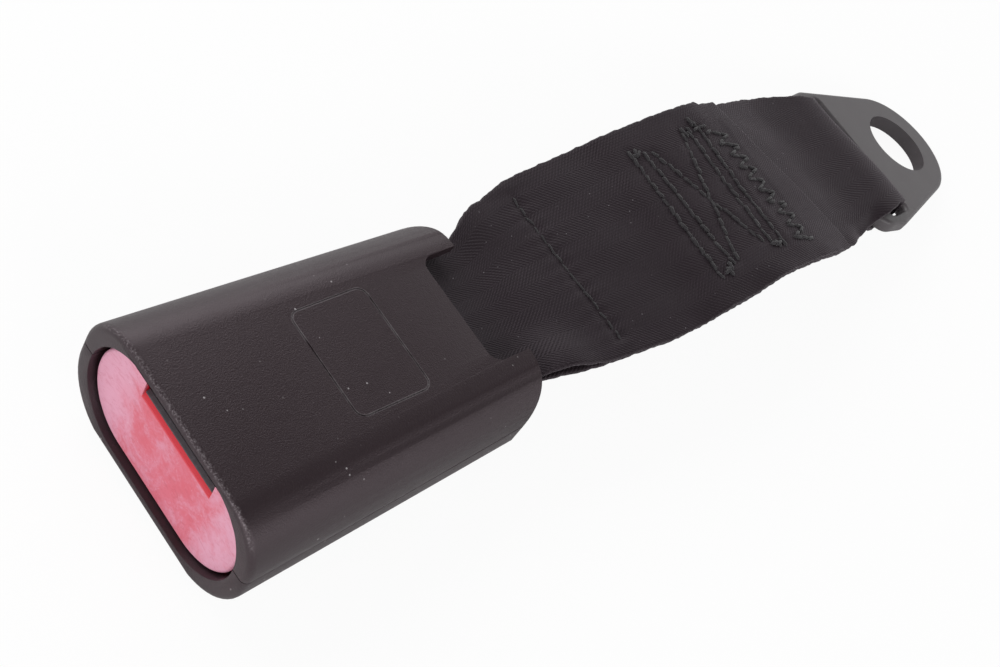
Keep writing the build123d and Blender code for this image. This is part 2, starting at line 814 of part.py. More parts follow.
def eye(centre, radius, end_low, end_high):
    """Loop of one ply round a bar, closing on the sewn stretch, inside the active sketch."""
    cx, cz = centre
    outer = radius + ply
    middle = ((end_low[0] + end_high[0]) / 2, (end_low[1] + end_high[1]) / 2)
    lean = atan2(middle[1] - cz, middle[0] - cx)
    nx, nz = -sin(lean), cos(lean)
    high, low = (end_high, end_low) if nz > 0 else (end_low, end_high)
    with Locations(centre):
        Circle(outer)
    with BuildLine() as cheeks:
        above = (cx + nx * outer, cz + nz * outer)
        below = (cx - nx * outer, cz - nz * outer)
        Polyline(above, high, low, below, close=True)
    make_face(cheeks.edges())
    with Locations(centre):
        Circle(radius, mode=Mode.SUBTRACT)
    tip = (cx + (middle[0] - cx) * 0.8, cz + (middle[1] - cz) * 0.8)
    with BuildLine() as gap:
        Polyline((cx + nx * radius, cz + nz * radius), tip, (cx - nx * radius, cz - nz * radius), close=True)
    make_face(gap.edges(), mode=Mode.SUBTRACT)


strap_x0 = mouth_x + strap_start
strap_x1 = mouth_x + strap_route[-1][0]
return_x = mouth_x + return_end_at
cut_x = mouth_x + cut_end_at
first = trimmed(two_line.line, strap_x0, return_x)
second = trimmed(three_line.line, return_x, cut_x)
third = trimmed(two_line.line, cut_x, strap_x1)
low_ends = lifted(strap_route, 0)

with BuildPart() as webbing_strap:
    with BuildSketch(Plane.XZ):
        with BuildLine():
            Spline(*lifted(strap_route, 0))
            Line(low_ends[-1], third[-1])
            Spline(*reversed(third))
            Line(third[0], second[-1])
            Spline(*reversed(second))
            Line(second[0], first[-1])
            Spline(*reversed(first))
            Line(first[0], low_ends[0])
        make_face()
        eye((bar_x, bar_z), buckle_eye_r, low_ends[0], first[0])
        eye((anchor_bar_x, anchor_bar_z), anchor_eye_r, low_ends[-1], third[-1])
    extrude(amount=web_width / 2, both=True)
    eye_far = anchor_bar_x + anchor_eye_r + ply + 1
    eye_near = bar_x - buckle_eye_r - ply - 1
    plan = [
        (eye_near, buckle_eye_half),
        (rear_x - side_wall, buckle_eye_half),
        (rear_x + 1, exit_half),
        (mouth_x + full_width_start, web_width / 2),
        (mouth_x + full_width_end, web_width / 2),
        (anchor_bar_x - anchor_bar_depth, anchor_eye_half),
        (eye_far, anchor_eye_half),
    ]
    with BuildSketch(Plane.XY.offset(floor_z)):
        with BuildLine():
            Polyline(*plan, *[(x, -y) for x, y in reversed(plan)], close=True)
        make_face()
    extrude(amount=2 * mouth_height, mode=Mode.INTERSECT)
webbing_strap.part.label = "webbing_strap"
export_step(webbing_strap.part, "parts/webbing_strap.step")


def stitch_row(curve, start, end, seat=0.03):
    """Row of single stitches on a surface, from one (x, y) to another, inside the active part."""
    (x0, y0), (x1, y1) = start, end
    run = ((x1 - x0) ** 2 + (y1 - y0) ** 2) ** 0.5
    count = int(run / stitch_pitch)
    turn = degrees(atan2(y1 - y0, x1 - x0))
    for i in range(count):
        share = (i + 0.5) / count
        x = mouth_x + x0 + (x1 - x0) * share
        place, slope = curve_at(curve, x)
        y = y0 + (y1 - y0) * share
        rise = seat + thread_height / 2
        tilt = Location((0, 0, 0), (0, -slope, 0))
        spot = Location((place.X, y, place.Z)) * tilt * Location((0, 0, rise), (0, 0, turn))
        with Locations(spot):
            Box(stitch_length, thread_width, thread_height)


# Stitching: a single tack row, and the box of rows, diagonals and zigzag
with BuildPart() as tack_stitching:
    stitch_row(two_line.line, (tack_at, -tack_half), (tack_at, tack_half))
tack_stitching.part.label = "tack_stitching"
export_step(tack_stitching.part, "parts/tack_stitching.step")

box_rows = (box_start, box_start + row_gap, box_end - rear_rows[0], box_end - rear_rows[1])
zig_x0 = box_end - zig_near
zig_x1 = box_end - zig_far
with BuildPart() as box_stitching:
    for row in box_rows:
        stitch_row(three_line.line, (row, -box_half), (row, box_half))
    for side in (-1, 1):
        start = (box_rows[1] + stitch_length, side * (box_half - diagonal_gap))
        end = (box_rows[2] - stitch_length, -side * (box_half - diagonal_gap))
        lean = atan2(end[1] - start[1], end[0] - start[0])
        gap_x = crossing_gap / 2 * cos(lean)
        gap_y = crossing_gap / 2 * sin(lean)
        middle_x = (start[0] + end[0]) / 2
        stitch_row(three_line.line, start, (middle_x - gap_x, -gap_y))
        stitch_row(three_line.line, (middle_x + gap_x, gap_y), end)
    step = 2 * box_half / zig_count
    for i in range(zig_count):
        y0 = -box_half + i * step
        ends = (zig_x0, zig_x1) if i % 2 else (zig_x1, zig_x0)
        stitch_row(three_line.line, (ends[0], y0 + zig_end_gap), (ends[1], y0 + step - zig_end_gap))
box_stitching.part.label = "box_stitching"
export_step(box_stitching.part, "parts/box_stitching.step")
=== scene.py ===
import math
import random

import bmesh
import bpy
import numpy as np
from mathutils import Matrix, Vector


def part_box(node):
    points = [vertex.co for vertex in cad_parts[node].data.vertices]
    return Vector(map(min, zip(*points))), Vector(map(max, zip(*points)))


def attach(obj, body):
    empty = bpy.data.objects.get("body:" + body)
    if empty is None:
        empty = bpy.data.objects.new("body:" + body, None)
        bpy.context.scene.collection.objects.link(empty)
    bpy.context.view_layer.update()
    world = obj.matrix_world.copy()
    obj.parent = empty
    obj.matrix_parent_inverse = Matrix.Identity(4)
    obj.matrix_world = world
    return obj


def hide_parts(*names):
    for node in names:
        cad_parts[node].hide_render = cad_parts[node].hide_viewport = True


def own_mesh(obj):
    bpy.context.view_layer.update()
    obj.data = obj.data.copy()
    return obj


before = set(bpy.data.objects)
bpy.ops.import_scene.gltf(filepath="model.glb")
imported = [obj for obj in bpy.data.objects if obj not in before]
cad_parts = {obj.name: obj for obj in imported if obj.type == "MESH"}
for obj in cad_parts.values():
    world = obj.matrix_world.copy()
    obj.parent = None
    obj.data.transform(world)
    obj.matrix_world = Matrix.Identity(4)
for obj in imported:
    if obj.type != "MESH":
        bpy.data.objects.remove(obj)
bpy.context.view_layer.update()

bl_info = {
    "name": "Seat belt buckle",
    "version": (1, 0, 0),
    "blender": (4, 5, 0),
    "location": "3D View > Sidebar > Buckle",
    "description": "Builds a push-button belt buckle on its sewn webbing stalk with an anchor plate",
    "category": "Object",
}

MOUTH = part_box("lower_shell")[0].x
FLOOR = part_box("lower_shell")[0].z
PARTING = (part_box("upper_shell")[0].z - FLOOR) * 1000
LENGTH = (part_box("lower_shell")[1].x - MOUTH) * 1000
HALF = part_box("lower_shell")[1].y * 1000
HEIGHT = (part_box("upper_shell")[1].z - FLOOR) * 1000

# The bare label field on the casing's top, in millimetres
LABEL_NEAR, LABEL_FAR, LABEL_MIDDLE = 32.4, 51.3, 41.85
LABEL_LENGTH = LABEL_FAR - LABEL_NEAR
LABEL_HALF = 12.5
LABEL_CORNER = 2.4
LABEL_LINE = 0.35

# The notch in the button that the tongue goes through
NOTCH_HALF = 11.4
NOTCH_LEDGE = 21.5

WEBBING_WIDTH = 0.048
WEBBING_HALF = 24.0
TACK_AT = 101


# Sizes and colours that a user would change

def length(name, description, millimetres):
    """A length property, given in millimetres and kept in metres."""
    return bpy.props.FloatProperty(
        name=name, description=description, default=millimetres / 1000, min=0.0, unit="LENGTH"
    )


def colour(name, description, red, green, blue):
    """A colour property, in linear light."""
    return bpy.props.FloatVectorProperty(
        name=name, description=description, size=3, min=0.0, max=1.0, subtype="COLOR", default=(red, green, blue)
    )


class BuckleSizes(bpy.types.PropertyGroup):
    """Sizes of the pieces that are modelled here."""

    rear_width: length("Rear width", "Width of the casing at its rear end", 49.7)
    roof_drop: length("Roof drop", "How much lower the casing's top is at the rear than at the mouth", 4.1)
    top_edge: length("Top edge radius", "Rounding of the casing's long upper edges", 11.5)
    low_edge: length("Low edge radius", "Rounding of the casing's long lower edges", 13.7)
    rear_corner: length("Rear corner radius", "Rounding of the casing's rear corners, seen from above", 7.8)
    mouth_wall: length("Mouth wall", "Wall beside the mouth", 3.6)
    rim: length("Rim rounding", "Rounding of the rim round the mouth", 1.5)
    parting_gap: length("Parting gap", "Width of the line between the two shells", 0.24)
    label_depth: length("Label line depth", "Depth of the line round the bare label field", 0.22)
    ply: length("Webbing thickness", "Thickness of one layer of webbing", 1.2)
    stitch: length("Stitch length", "Length of one stitch", 3.0)


class BuckleColours(bpy.types.PropertyGroup):
    """Colours of the finishes."""

    casing: colour("Casing", "Black moulded plastic of the casing", 0.0125, 0.0068, 0.0085)
    button: colour("Button", "Red plastic of the button", 0.6, 0.014, 0.03)
    bloom: colour("Bloom", "Pale bloom on the button's worn face", 0.67, 0.32, 0.43)
    guide: colour("Guide", "Grey plastic of the tongue guide", 0.055, 0.045, 0.052)
    webbing: colour("Webbing", "Woven belt webbing", 0.0105, 0.0068, 0.0088)
    thread: colour("Thread", "Sewing thread", 0.0115, 0.009, 0.0115)
    coated: colour("Coated steel", "Dark coating on the anchor plate", 0.062, 0.054, 0.058)
    steel: colour("Steel", "Bare pressed steel of the mechanism", 0.56, 0.56, 0.55)
    floor: colour("Floor", "Studio floor", 0.93, 0.93, 0.93)


# Node maths for the finishes

class Value:
    """A socket of a finish, so that a pattern is written as an expression."""

    def __init__(self, finish, socket):
        self.finish = finish
        self.socket = socket

    def math(self, operation, *others):
        """Adds a Math node on this value and others."""
        return self.finish.node("ShaderNodeMath", {"operation": operation}, dict(enumerate((self, *others))))

    def __add__(self, other):
        return self.math("ADD", other)

    def __radd__(self, other):
        return self.math("ADD", other)

    def __sub__(self, other):
        return self.math("SUBTRACT", other)

    def __rsub__(self, other):
        return self.finish.node("ShaderNodeMath", {"operation": "SUBTRACT"}, {0: other, 1: self})

    def __mul__(self, other):
        return self.math("MULTIPLY", other)

    def __rmul__(self, other):
        return self.math("MULTIPLY", other)

    def __truediv__(self, other):
        return self.math("DIVIDE", other)

    def __abs__(self):
        return self.math("ABSOLUTE")


class Finish:
    """A node material for one of the buckle's finishes."""

    def __init__(self, name, **shader):
        self.material = bpy.data.materials.new(name)
        self.material.use_nodes = True
        self.tree = self.material.node_tree
        self.shader = self.tree.nodes["Principled BSDF"]
        for socket, value in shader.items():
            self.set(socket.replace("_", " ").title().replace("Ior", "IOR"), value)

    def put(self, socket, value):
        """Links a value to a socket or sets it there."""
        if isinstance(value, Value):
            self.tree.links.new(value.socket, socket)
        elif hasattr(value, "__len__") and len(value) == 3 and len(socket.default_value) == 4:
            socket.default_value = (*value, 1.0)
        else:
            socket.default_value = value

    def set(self, socket, value):
        """Sets or links one of the shader's sockets."""
        self.put(self.shader.inputs[socket], value)

    def dressed(self, surface, roughness, normal):
        """Sets what changes over the surface and hands the finish back."""
        self.set("Base Color", surface)
        self.set("Roughness", roughness)
        self.set("Normal", normal)
        return self

    def node(self, kind, settings=None, values=None, out=0):
        """Adds a node: its settings first, then the values or links of its sockets."""
        node = self.tree.nodes.new(kind)
        for name, setting in (settings or {}).items():
            setattr(node, name, setting)
        for socket, value in (values or {}).items():
            self.put(node.inputs[socket], value)
        return Value(self, node.outputs[out])

    def place(self):
        """Object coordinates, in metres."""
        return self.node("ShaderNodeTexCoord", out="Object")

    def cloth(self):
        """The webbing's own coordinates: across and along it, in metres."""
        return self.node("ShaderNodeUVMap", {"uv_map": "webbing"})

    def axes(self, vector):
        """A vector's three values."""
        split = self.node("ShaderNodeSeparateXYZ", values={0: vector}).socket.node
        return [Value(self, split.outputs[i]) for i in range(3)]

    def stretched(self, vector, scale):
        """A vector scaled on each axis."""
        return self.node("ShaderNodeMapping", {"vector_type": "POINT"}, {"Vector": vector, "Scale": scale})

    def noise(self, vector, scale, detail=2.0, roughness=0.5, distortion=0.0):
        """Soft noise from 0 to 1 whose marks are about 1 / scale metres across."""
        values = {"Vector": vector, "Scale": scale, "Detail": detail, "Roughness": roughness, "Distortion": distortion}
        return self.node("ShaderNodeTexNoise", values=values)

    def specks(self, vector, scale, size):
        """Scattered specks: 1 in a speck and 0 elsewhere."""
        spots = self.node("ShaderNodeTexVoronoi", values={"Vector": vector, "Scale": scale}, out="Distance")
        return self.ramp(spots, size, size * 0.55)

    def ramp(self, value, low, high):
        """A smooth step from 0 at low to 1 at high."""
        values = {"Value": value, "From Min": low, "From Max": high}
        return self.node("ShaderNodeMapRange", {"interpolation_type": "SMOOTHSTEP"}, values)

    def mix(self, share, first, second):
        """A colour between two others."""
        values = {"Factor": share, 6: first, 7: second}
        return self.node("ShaderNodeMix", {"data_type": "RGBA"}, values, out=2)

    def bump(self, height, millimetres, strength=1.0, below=None):
        """Relief of a height from 0 to 1 over a depth, on top of another relief if given."""
        values = {"Height": height, "Distance": millimetres / 1000, "Strength": strength}
        if below is not None:
            values["Normal"] = below
        return self.node("ShaderNodeBump", values=values)


def finish_on(piece, finish):
    """Gives a piece one finish all over, in its material slots."""
    if not piece.data.materials:
        piece.data.materials.append(finish.material)
    for slot in piece.material_slots:
        slot.material = finish.material


def casing_plastic(tone):
    """Black moulded plastic with a fine grain and dust, and painted highlights along the rim's upper edge and on the
    line round the label field.
    """
    finish = Finish("casing_plastic", specular_ior_level=0.6)
    finish.set("Specular Tint", (1.0, 0.84, 0.91))
    place = finish.place()
    x, y, z = finish.axes(place)
    grain = finish.noise(place, 3200, 2.0, 0.6)
    fine = finish.noise(place, 5200, 1.0)
    cloud = finish.noise(place, 55, 3.0, 0.6)
    dust = finish.specks(place, 330, 0.085) * finish.ramp(finish.noise(place, 38), 0.5, 0.62)
    scuff = finish.ramp(finish.noise(finish.stretched(place, (420, 2600, 900)), 1.0, 3.0), 0.71, 0.8)
    scuff = scuff * finish.ramp(finish.noise(place, 48, 1.0), 0.52, 0.66)
    surface = finish.mix(cloud * 0.5, tone, [c * 1.35 for c in tone])
    surface = finish.mix(scuff * 0.35, surface, (0.12, 0.11, 0.115))
    surface = finish.mix(dust * 0.75, surface, (0.42, 0.4, 0.41))
    # Painted highlight along the rim of the mouth, on its upper edge, broken up by a grainy noise
    rim = finish.ramp(x, MOUTH + 0.0012, MOUTH + 0.0007) * finish.ramp(x, MOUTH + 0.0001, MOUTH + 0.0004)
    rim = rim * finish.ramp(z, FLOOR + 0.0235, FLOOR + 0.0275)
    highlight_grain = finish.ramp(finish.noise(place, 2300, 3.0, 0.7), 0.44, 0.66)
    surface = finish.mix(rim * highlight_grain * 0.36, surface, (0.3, 0.27, 0.285))
    # A painted highlight on the line round the label field, found by its distance from a rectangle with round corners
    # and broken up by noise
    side_x = abs(x - (MOUTH + LABEL_MIDDLE / 1000)) - (LABEL_LENGTH / 2 - LABEL_CORNER) / 1000
    side_y = abs(y) - (LABEL_HALF - LABEL_CORNER) / 1000
    past_x, past_y = side_x.math("MAXIMUM", 0), side_y.math("MAXIMUM", 0)
    corner = (past_x * past_x + past_y * past_y).math("SQRT")
    away = abs(corner + side_x.math("MAXIMUM", side_y).math("MINIMUM", 0) - 0.0022)
    line = finish.ramp(away, 0.00034, 0.00018) * finish.ramp(z, FLOOR + 0.024, FLOOR + 0.0255)
    patchy_highlight = finish.ramp(finish.noise(place, 130, 3.0, 0.7), 0.3, 0.6)
    surface = finish.mix(line * patchy_highlight * 0.4, surface, (0.26, 0.24, 0.25))
    relief = finish.bump(grain, 0.08, 1.0)
    return finish.dressed(surface, 0.3 + 0.1 * cloud + 0.12 * fine, finish.bump(fine, 0.012, 0.8, relief))


def button_plastic(tone, bloom):
    """Red plastic whose face has bleached to a mottled pink, and whose edges keep their colour."""
    finish = Finish("button_plastic", specular_ior_level=0.45)
    place = finish.place()
    x, y, z = finish.axes(place)
    patches = finish.noise(place, 150, 4.0, 0.65, 0.6)
    mottle = finish.noise(place, 620, 4.0, 0.72, 1.2)
    cracks = finish.noise(finish.stretched(place, (600, 380, 900)), 1.0, 5.0, 0.75, 1.5)
    grain = finish.noise(place, 2600, 2.0)
    ends = finish.ramp(abs(y), 0.008, 0.021)
    far = finish.ramp(y, 0.004, 0.019)
    faded = finish.ramp(patches + 0.55 * mottle + 0.34 * ends + 0.16 * far - 0.1, 0.55, 1.08)
    fronts = finish.ramp(x, MOUTH + 0.00245, MOUTH + 0.00175)
    ledge = finish.ramp(z, FLOOR + 0.0199, FLOOR + 0.0204) * finish.ramp(abs(y), 0.01145, 0.0113)
    worn = 1 - 0.9 * ledge
    surface = finish.mix(faded * fronts, tone, bloom)
    surface = finish.mix(fronts * 0.42, surface, bloom)
    streaks = finish.ramp(cracks, 0.5, 0.66) * fronts
    surface = finish.mix(streaks * 0.3, surface, (0.45, 0.06, 0.09))
    surface = finish.mix(1 - worn, surface, tone)
    white = finish.ramp(finish.noise(place, 900, 5.0, 0.8, 0.5), 0.58, 0.74) * fronts * worn
    surface = finish.mix(white * 0.4, surface, (0.78, 0.6, 0.66))
    relief = finish.bump(patches, 0.12, 0.5)
    return finish.dressed(surface, 0.3 + 0.22 * fronts + 0.12 * mottle, finish.bump(grain, 0.014, 0.5, relief))


def guide_plastic(tone):
    """Plain grey plastic, a little scuffed by the tongue."""
    finish = Finish("guide_plastic", specular_ior_level=0.4)
    place = finish.place()
    scuffs = finish.noise(finish.stretched(place, (160, 1500, 900)), 1.0, 3.0)
    return finish.dressed(
        finish.mix(finish.ramp(scuffs, 0.45, 0.75) * 0.35, tone, [c * 2.2 for c in tone]), 0.48 + 0.15 * scuffs,
        finish.bump(finish.noise(place, 2600), 0.012, 0.5),
    )


def belt_webbing(tone):
    """Polyester webbing in a herringbone twill, with lint and a dull sheen."""
    finish = Finish("webbing", specular_ior_level=0.34, sheen_weight=0.16, sheen_roughness=0.4)
    finish.set("Sheen Tint", (0.62, 0.52, 0.6))
    finish.set("Specular Tint", (1.0, 0.86, 0.96))
    cloth = finish.cloth()
    across, along, _ = finish.axes(cloth)
    place = finish.place()
    column = abs((across / 0.0096).math("FRACT") - 0.5) * 2
    slip = finish.noise(finish.stretched(cloth, (300, 130, 1)), 1.0) * 0.25
    rib = ((along / 0.00098 + column * 4.9 + slip) * (2 * math.pi)).math("SINE") * 0.5 + 0.5
    yarn = ((across / 0.00065) * (2 * math.pi)).math("SINE") * 0.5 + 0.5
    relief = rib * 0.75 + yarn * 0.25
    soft = finish.noise(place, 90, 3.0, 0.6)
    wear = finish.ramp(finish.noise(place, 260, 3.0, 0.7), 0.45, 0.7)
    lint = finish.specks(place, 520, 0.09) * finish.ramp(finish.noise(place, 70), 0.48, 0.6)
    surface = finish.mix(rib * 0.45 + wear * 0.3, [c * 0.72 for c in tone], [c * 1.35 for c in tone])
    surface = finish.mix(soft * 0.5, surface, [c * 1.5 for c in tone])
    surface = finish.mix(lint * 0.5, surface, (0.3, 0.28, 0.3))
    ground = finish.bump(finish.noise(place, 420, 3.0), 0.09, 0.5)
    return finish.dressed(surface, 0.5 + 0.16 * soft, finish.bump(relief, 0.075, 0.9, ground))


def sewing_thread(tone):
    """Bonded thread, twisted and a little dusty."""
    finish = Finish("thread", specular_ior_level=0.4, sheen_weight=0.2)
    place = finish.place()
    twist = finish.noise(finish.stretched(place, (2600, 1600, 2600)), 1.0, 2.0)
    dust = finish.ramp(finish.noise(place, 700, 4.0, 0.75), 0.6, 0.74)
    return finish.dressed(
        finish.mix(dust * 0.35, tone, (0.16, 0.15, 0.16)), 0.5 + 0.2 * twist,
        finish.bump(twist, 0.09, 0.9),
    )


def coated_steel(tone):
    """Dark satin coating with an orange-peel surface and a few fine rubs."""
    finish = Finish("coated_steel", specular_ior_level=0.5)
    place = finish.place()
    peel = finish.noise(place, 620, 2.0)
    cloud = finish.noise(place, 80, 4.0, 0.6)
    rubs = finish.ramp(finish.noise(finish.stretched(place, (260, 1900, 1900)), 1.0, 4.0, 0.7), 0.62, 0.76)
    surface = finish.mix(cloud * 0.6, tone, [c * 1.5 for c in tone])
    return finish.dressed(
        finish.mix(rubs * 0.3, surface, (0.2, 0.19, 0.2)), 0.33 + 0.16 * cloud,
        finish.bump(peel, 0.02, 0.6),
    )


def bare_steel(name, tone, roughness, brushing):
    """Zinc-plated or oiled steel with a drawn grain."""
    finish = Finish(name, metallic=1.0)
    place = finish.place()
    grain = finish.noise(finish.stretched(place, brushing), 1.0, 3.0)
    stain = finish.noise(place, 140, 4.0, 0.6)
    return finish.dressed(
        finish.mix(stain * 0.5, tone, [c * 0.72 for c in tone]), roughness + 0.14 * grain + 0.08 * stain,
        finish.bump(grain, 0.01, 0.4),
    )


def inner_plastic(name, tone, roughness):
    """Plain moulded plastic of the parts inside."""
    finish = Finish(name, specular_ior_level=0.4)
    place = finish.place()
    flow = finish.noise(place, 220, 3.0, 0.6)
    return finish.dressed(
        finish.mix(flow * 0.4, tone, [c * 1.25 for c in tone]), roughness + 0.12 * flow,
        finish.bump(finish.noise(place, 2400), 0.01, 0.5),
    )


# Modelling helpers: places are in millimetres from the mouth's middle and the floor

def at(x, y, z):
    """A place in the frame's metres."""
    return Vector((MOUTH + x / 1000, y / 1000, FLOOR + z / 1000))


def mm(size):
    """A property's metres in millimetres."""
    return size * 1000


def alone(piece=None):
    """Leaves edit mode with one piece selected and active, or none."""
    if bpy.context.mode != "OBJECT":
        bpy.ops.object.mode_set(mode="OBJECT")
    bpy.ops.object.select_all(action="DESELECT")
    bpy.context.view_layer.objects.active = piece
    if piece is not None:
        piece.select_set(True)
    return piece


def named(piece, name):
    """Names a piece and its mesh."""
    piece.name = name
    piece.data.name = name
    return piece


def block(name, low, high):
    """A cube between two corners."""
    alone()
    middle = (at(*low) + at(*high)) / 2
    bpy.ops.mesh.primitive_cube_add(size=1, location=middle)
    piece = named(bpy.context.object, name)
    piece.scale = [(b - a) / 1000 for a, b in zip(low, high)]
    bpy.ops.object.transform_apply(location=True, rotation=True, scale=True)
    return piece


def choose(piece, kind, test):
    """Opens a piece in edit mode with only the faces, edges or verts selected that pass the test."""
    alone(piece)
    bpy.ops.object.mode_set(mode="EDIT")
    bpy.ops.mesh.select_mode(type={"faces": "FACE", "edges": "EDGE", "verts": "VERT"}[kind])
    bpy.ops.mesh.select_all(action="DESELECT")
    mesh = bmesh.from_edit_mesh(piece.data)
    chosen = [item for item in getattr(mesh, kind) if test(item)]
    if not chosen:
        raise RuntimeError(f"{piece.name}: nothing to select among its {kind}")
    for item in chosen:
        item.select_set(True)
    bmesh.update_edit_mesh(piece.data)


def runs_along(edge, axis):
    """Whether an edge runs along an axis, numbered from 0."""
    run = edge.verts[1].co - edge.verts[0].co
    return run.length > 1e-9 and abs(run[axis]) > 0.97 * run.length


def middle_of(edge):
    """An edge's middle, in millimetres from the mouth and the floor."""
    spot = (edge.verts[0].co + edge.verts[1].co) / 2
    return Vector(((spot.x - MOUTH) * 1000, spot.y * 1000, (spot.z - FLOOR) * 1000))


def round_edges(piece, radius, segments, test, clamp=True):
    """Bevels the edges that pass the test to a radius."""
    choose(piece, "edges", test)
    bpy.ops.mesh.bevel(offset=radius / 1000, segments=segments, profile=0.5, affect="EDGES", clamp_overlap=clamp)
    alone(piece)
    return piece


def cut(piece, tool, operation="DIFFERENCE"):
    """Applies a Boolean with a tool piece, which is used up."""
    alone(piece)
    boolean = piece.modifiers.new("cut", "BOOLEAN")
    boolean.operation = operation
    boolean.solver = "EXACT"
    boolean.object = tool
    bpy.ops.object.modifier_apply(modifier=boolean.name)
    bpy.data.objects.remove(tool)
    return piece


def soften(piece, width, segments=2):
    """Breaks a piece's sharp edges and smooths its curved faces."""
    alone(piece)
    bpy.ops.object.mode_set(mode="EDIT")
    bpy.ops.mesh.select_all(action="SELECT")
    bpy.ops.mesh.remove_doubles(threshold=0.00002)
    bpy.ops.mesh.dissolve_limited(angle_limit=math.radians(0.4))
    alone(piece)
    if width:
        bevel = piece.modifiers.new("edges", "BEVEL")
        bevel.width = width / 1000
        bevel.segments = segments
        bevel.limit_method = "ANGLE"
        bevel.angle_limit = math.radians(35)
        bpy.ops.object.modifier_apply(modifier=bevel.name)
    bpy.ops.object.shade_smooth_by_angle(angle=math.radians(32))
    return piece


def turned(piece, pivot, degrees):
    """Turns a piece about a line along Y through a place."""
    turn = Matrix.Rotation(math.radians(degrees), 4, "Y")
    piece.data.transform(Matrix.Translation(pivot) @ turn @ Matrix.Translation(-pivot))
    return piece


def copy_of(piece, name):
    """A second piece with its own mesh."""
    alone(piece)
    bpy.ops.object.duplicate()
    return named(bpy.context.object, name)


def join(pieces):
    """Joins pieces into the first."""
    alone(pieces[0])
    for piece in pieces:
        piece.select_set(True)
    bpy.ops.object.join()
    return pieces[0]


def between(low, high, share):
    """A value between two others."""
    return low + (high - low) * share


def tapered_form(name, x0, x1, halves, low, tops, low_r, top_r, corner_r=0.0):
    """A block that narrows towards the rear, with rounded long edges and rear corners."""
    form = block(name, (x0, -halves[0], low), (x1, halves[0], tops[0]))
    choose(form, "faces", lambda face: face.normal.x > 0.9)
    narrowing = (1, halves[1] / halves[0], (tops[1] - low) / (tops[0] - low))
    bpy.ops.transform.resize(value=narrowing, center_override=at(x1, 0, low))
    level = (low + min(tops)) / 2
    round_edges(form, low_r, 14, lambda e: runs_along(e, 0) and middle_of(e).z < level, clamp=False)
    roof = (sum(tops)) / 2
    round_edges(form, top_r, 14, lambda e: runs_along(e, 0) and abs(middle_of(e).z - roof) < 0.1, clamp=False)
    if corner_r:
        plan = block("plan", (x0 - 1, -halves[0] - 0.06, low - 5), (x1, halves[0] + 0.06, max(tops) + 5))
        choose(plan, "faces", lambda face: face.normal.x > 0.9)
        bpy.ops.transform.resize(value=(1, (halves[1] + 0.02) / (halves[0] + 0.06), 1), center_override=at(x1, 0, low))
        round_edges(plan, corner_r, 12, lambda e: runs_along(e, 2) and middle_of(e).x > x1 - 1)
        cut(form, plan, "INTERSECT")
    return form


def rounded_block(name, low, high, radius, axis, segments=8):
    """A block whose edges along one axis are rounded."""
    return round_edges(block(name, low, high), radius, segments, lambda e: runs_along(e, axis))


def top_of_casing(sizes, x):
    """Height of the casing's flat top at x."""
    return HEIGHT - mm(sizes.roof_drop) * x / LENGTH


def casing_body(sizes):
    """The whole casing before it is parted: outer form, hollow, mouth with a rounded rim and rear opening."""
    rear = mm(sizes.rear_width) / 2
    drop = mm(sizes.roof_drop)
    body = tapered_form(
        "casing", 0, LENGTH, (HALF, rear), -0.3, (HEIGHT, HEIGHT - drop),
        mm(sizes.low_edge), mm(sizes.top_edge), mm(sizes.rear_corner),
    )
    cut(body, block("underside", (-5, -40, -5), (100, 40, 0)))
    wall = mm(sizes.mouth_wall)
    mouth = rounded_block("mouth", (-4, wall - HALF, 2.6), (13, HALF - wall, HEIGHT - 1.4), 12.8, 0, 16)
    cut(body, mouth)
    hollow = tapered_form(
        "hollow", 9, LENGTH - 2.2, (HALF - 3.2, rear - 2.2), 2.3,
        (HEIGHT - 2.2 - drop * 0.1, HEIGHT - 2.1 - drop), 9.0, 8.5, 5.6,
    )
    cut(body, hollow)
    core = HALF - wall - 12.4

    def from_core(edge):
        spot = middle_of(edge)
        return math.hypot(max(abs(spot.y) - core, 0), max(abs(spot.z - (HEIGHT + 0.4) / 2) - 0.1, 0))

    def on_mouth_face(edge):
        return abs(middle_of(edge).x) < 0.01 and sum(face.normal.x < -0.99 for face in edge.link_faces) == 1

    round_edges(body, mm(sizes.rim), 6, lambda e: on_mouth_face(e) and from_core(e) > 13.2)
    round_edges(body, 0.5, 3, lambda e: on_mouth_face(e) and from_core(e) < 12.8)
    rear_opening = block("rear_opening", (LENGTH - 9, -19, 12), (LENGTH + 5, 19, HEIGHT - drop - 2.0))
    return cut(body, rear_opening)


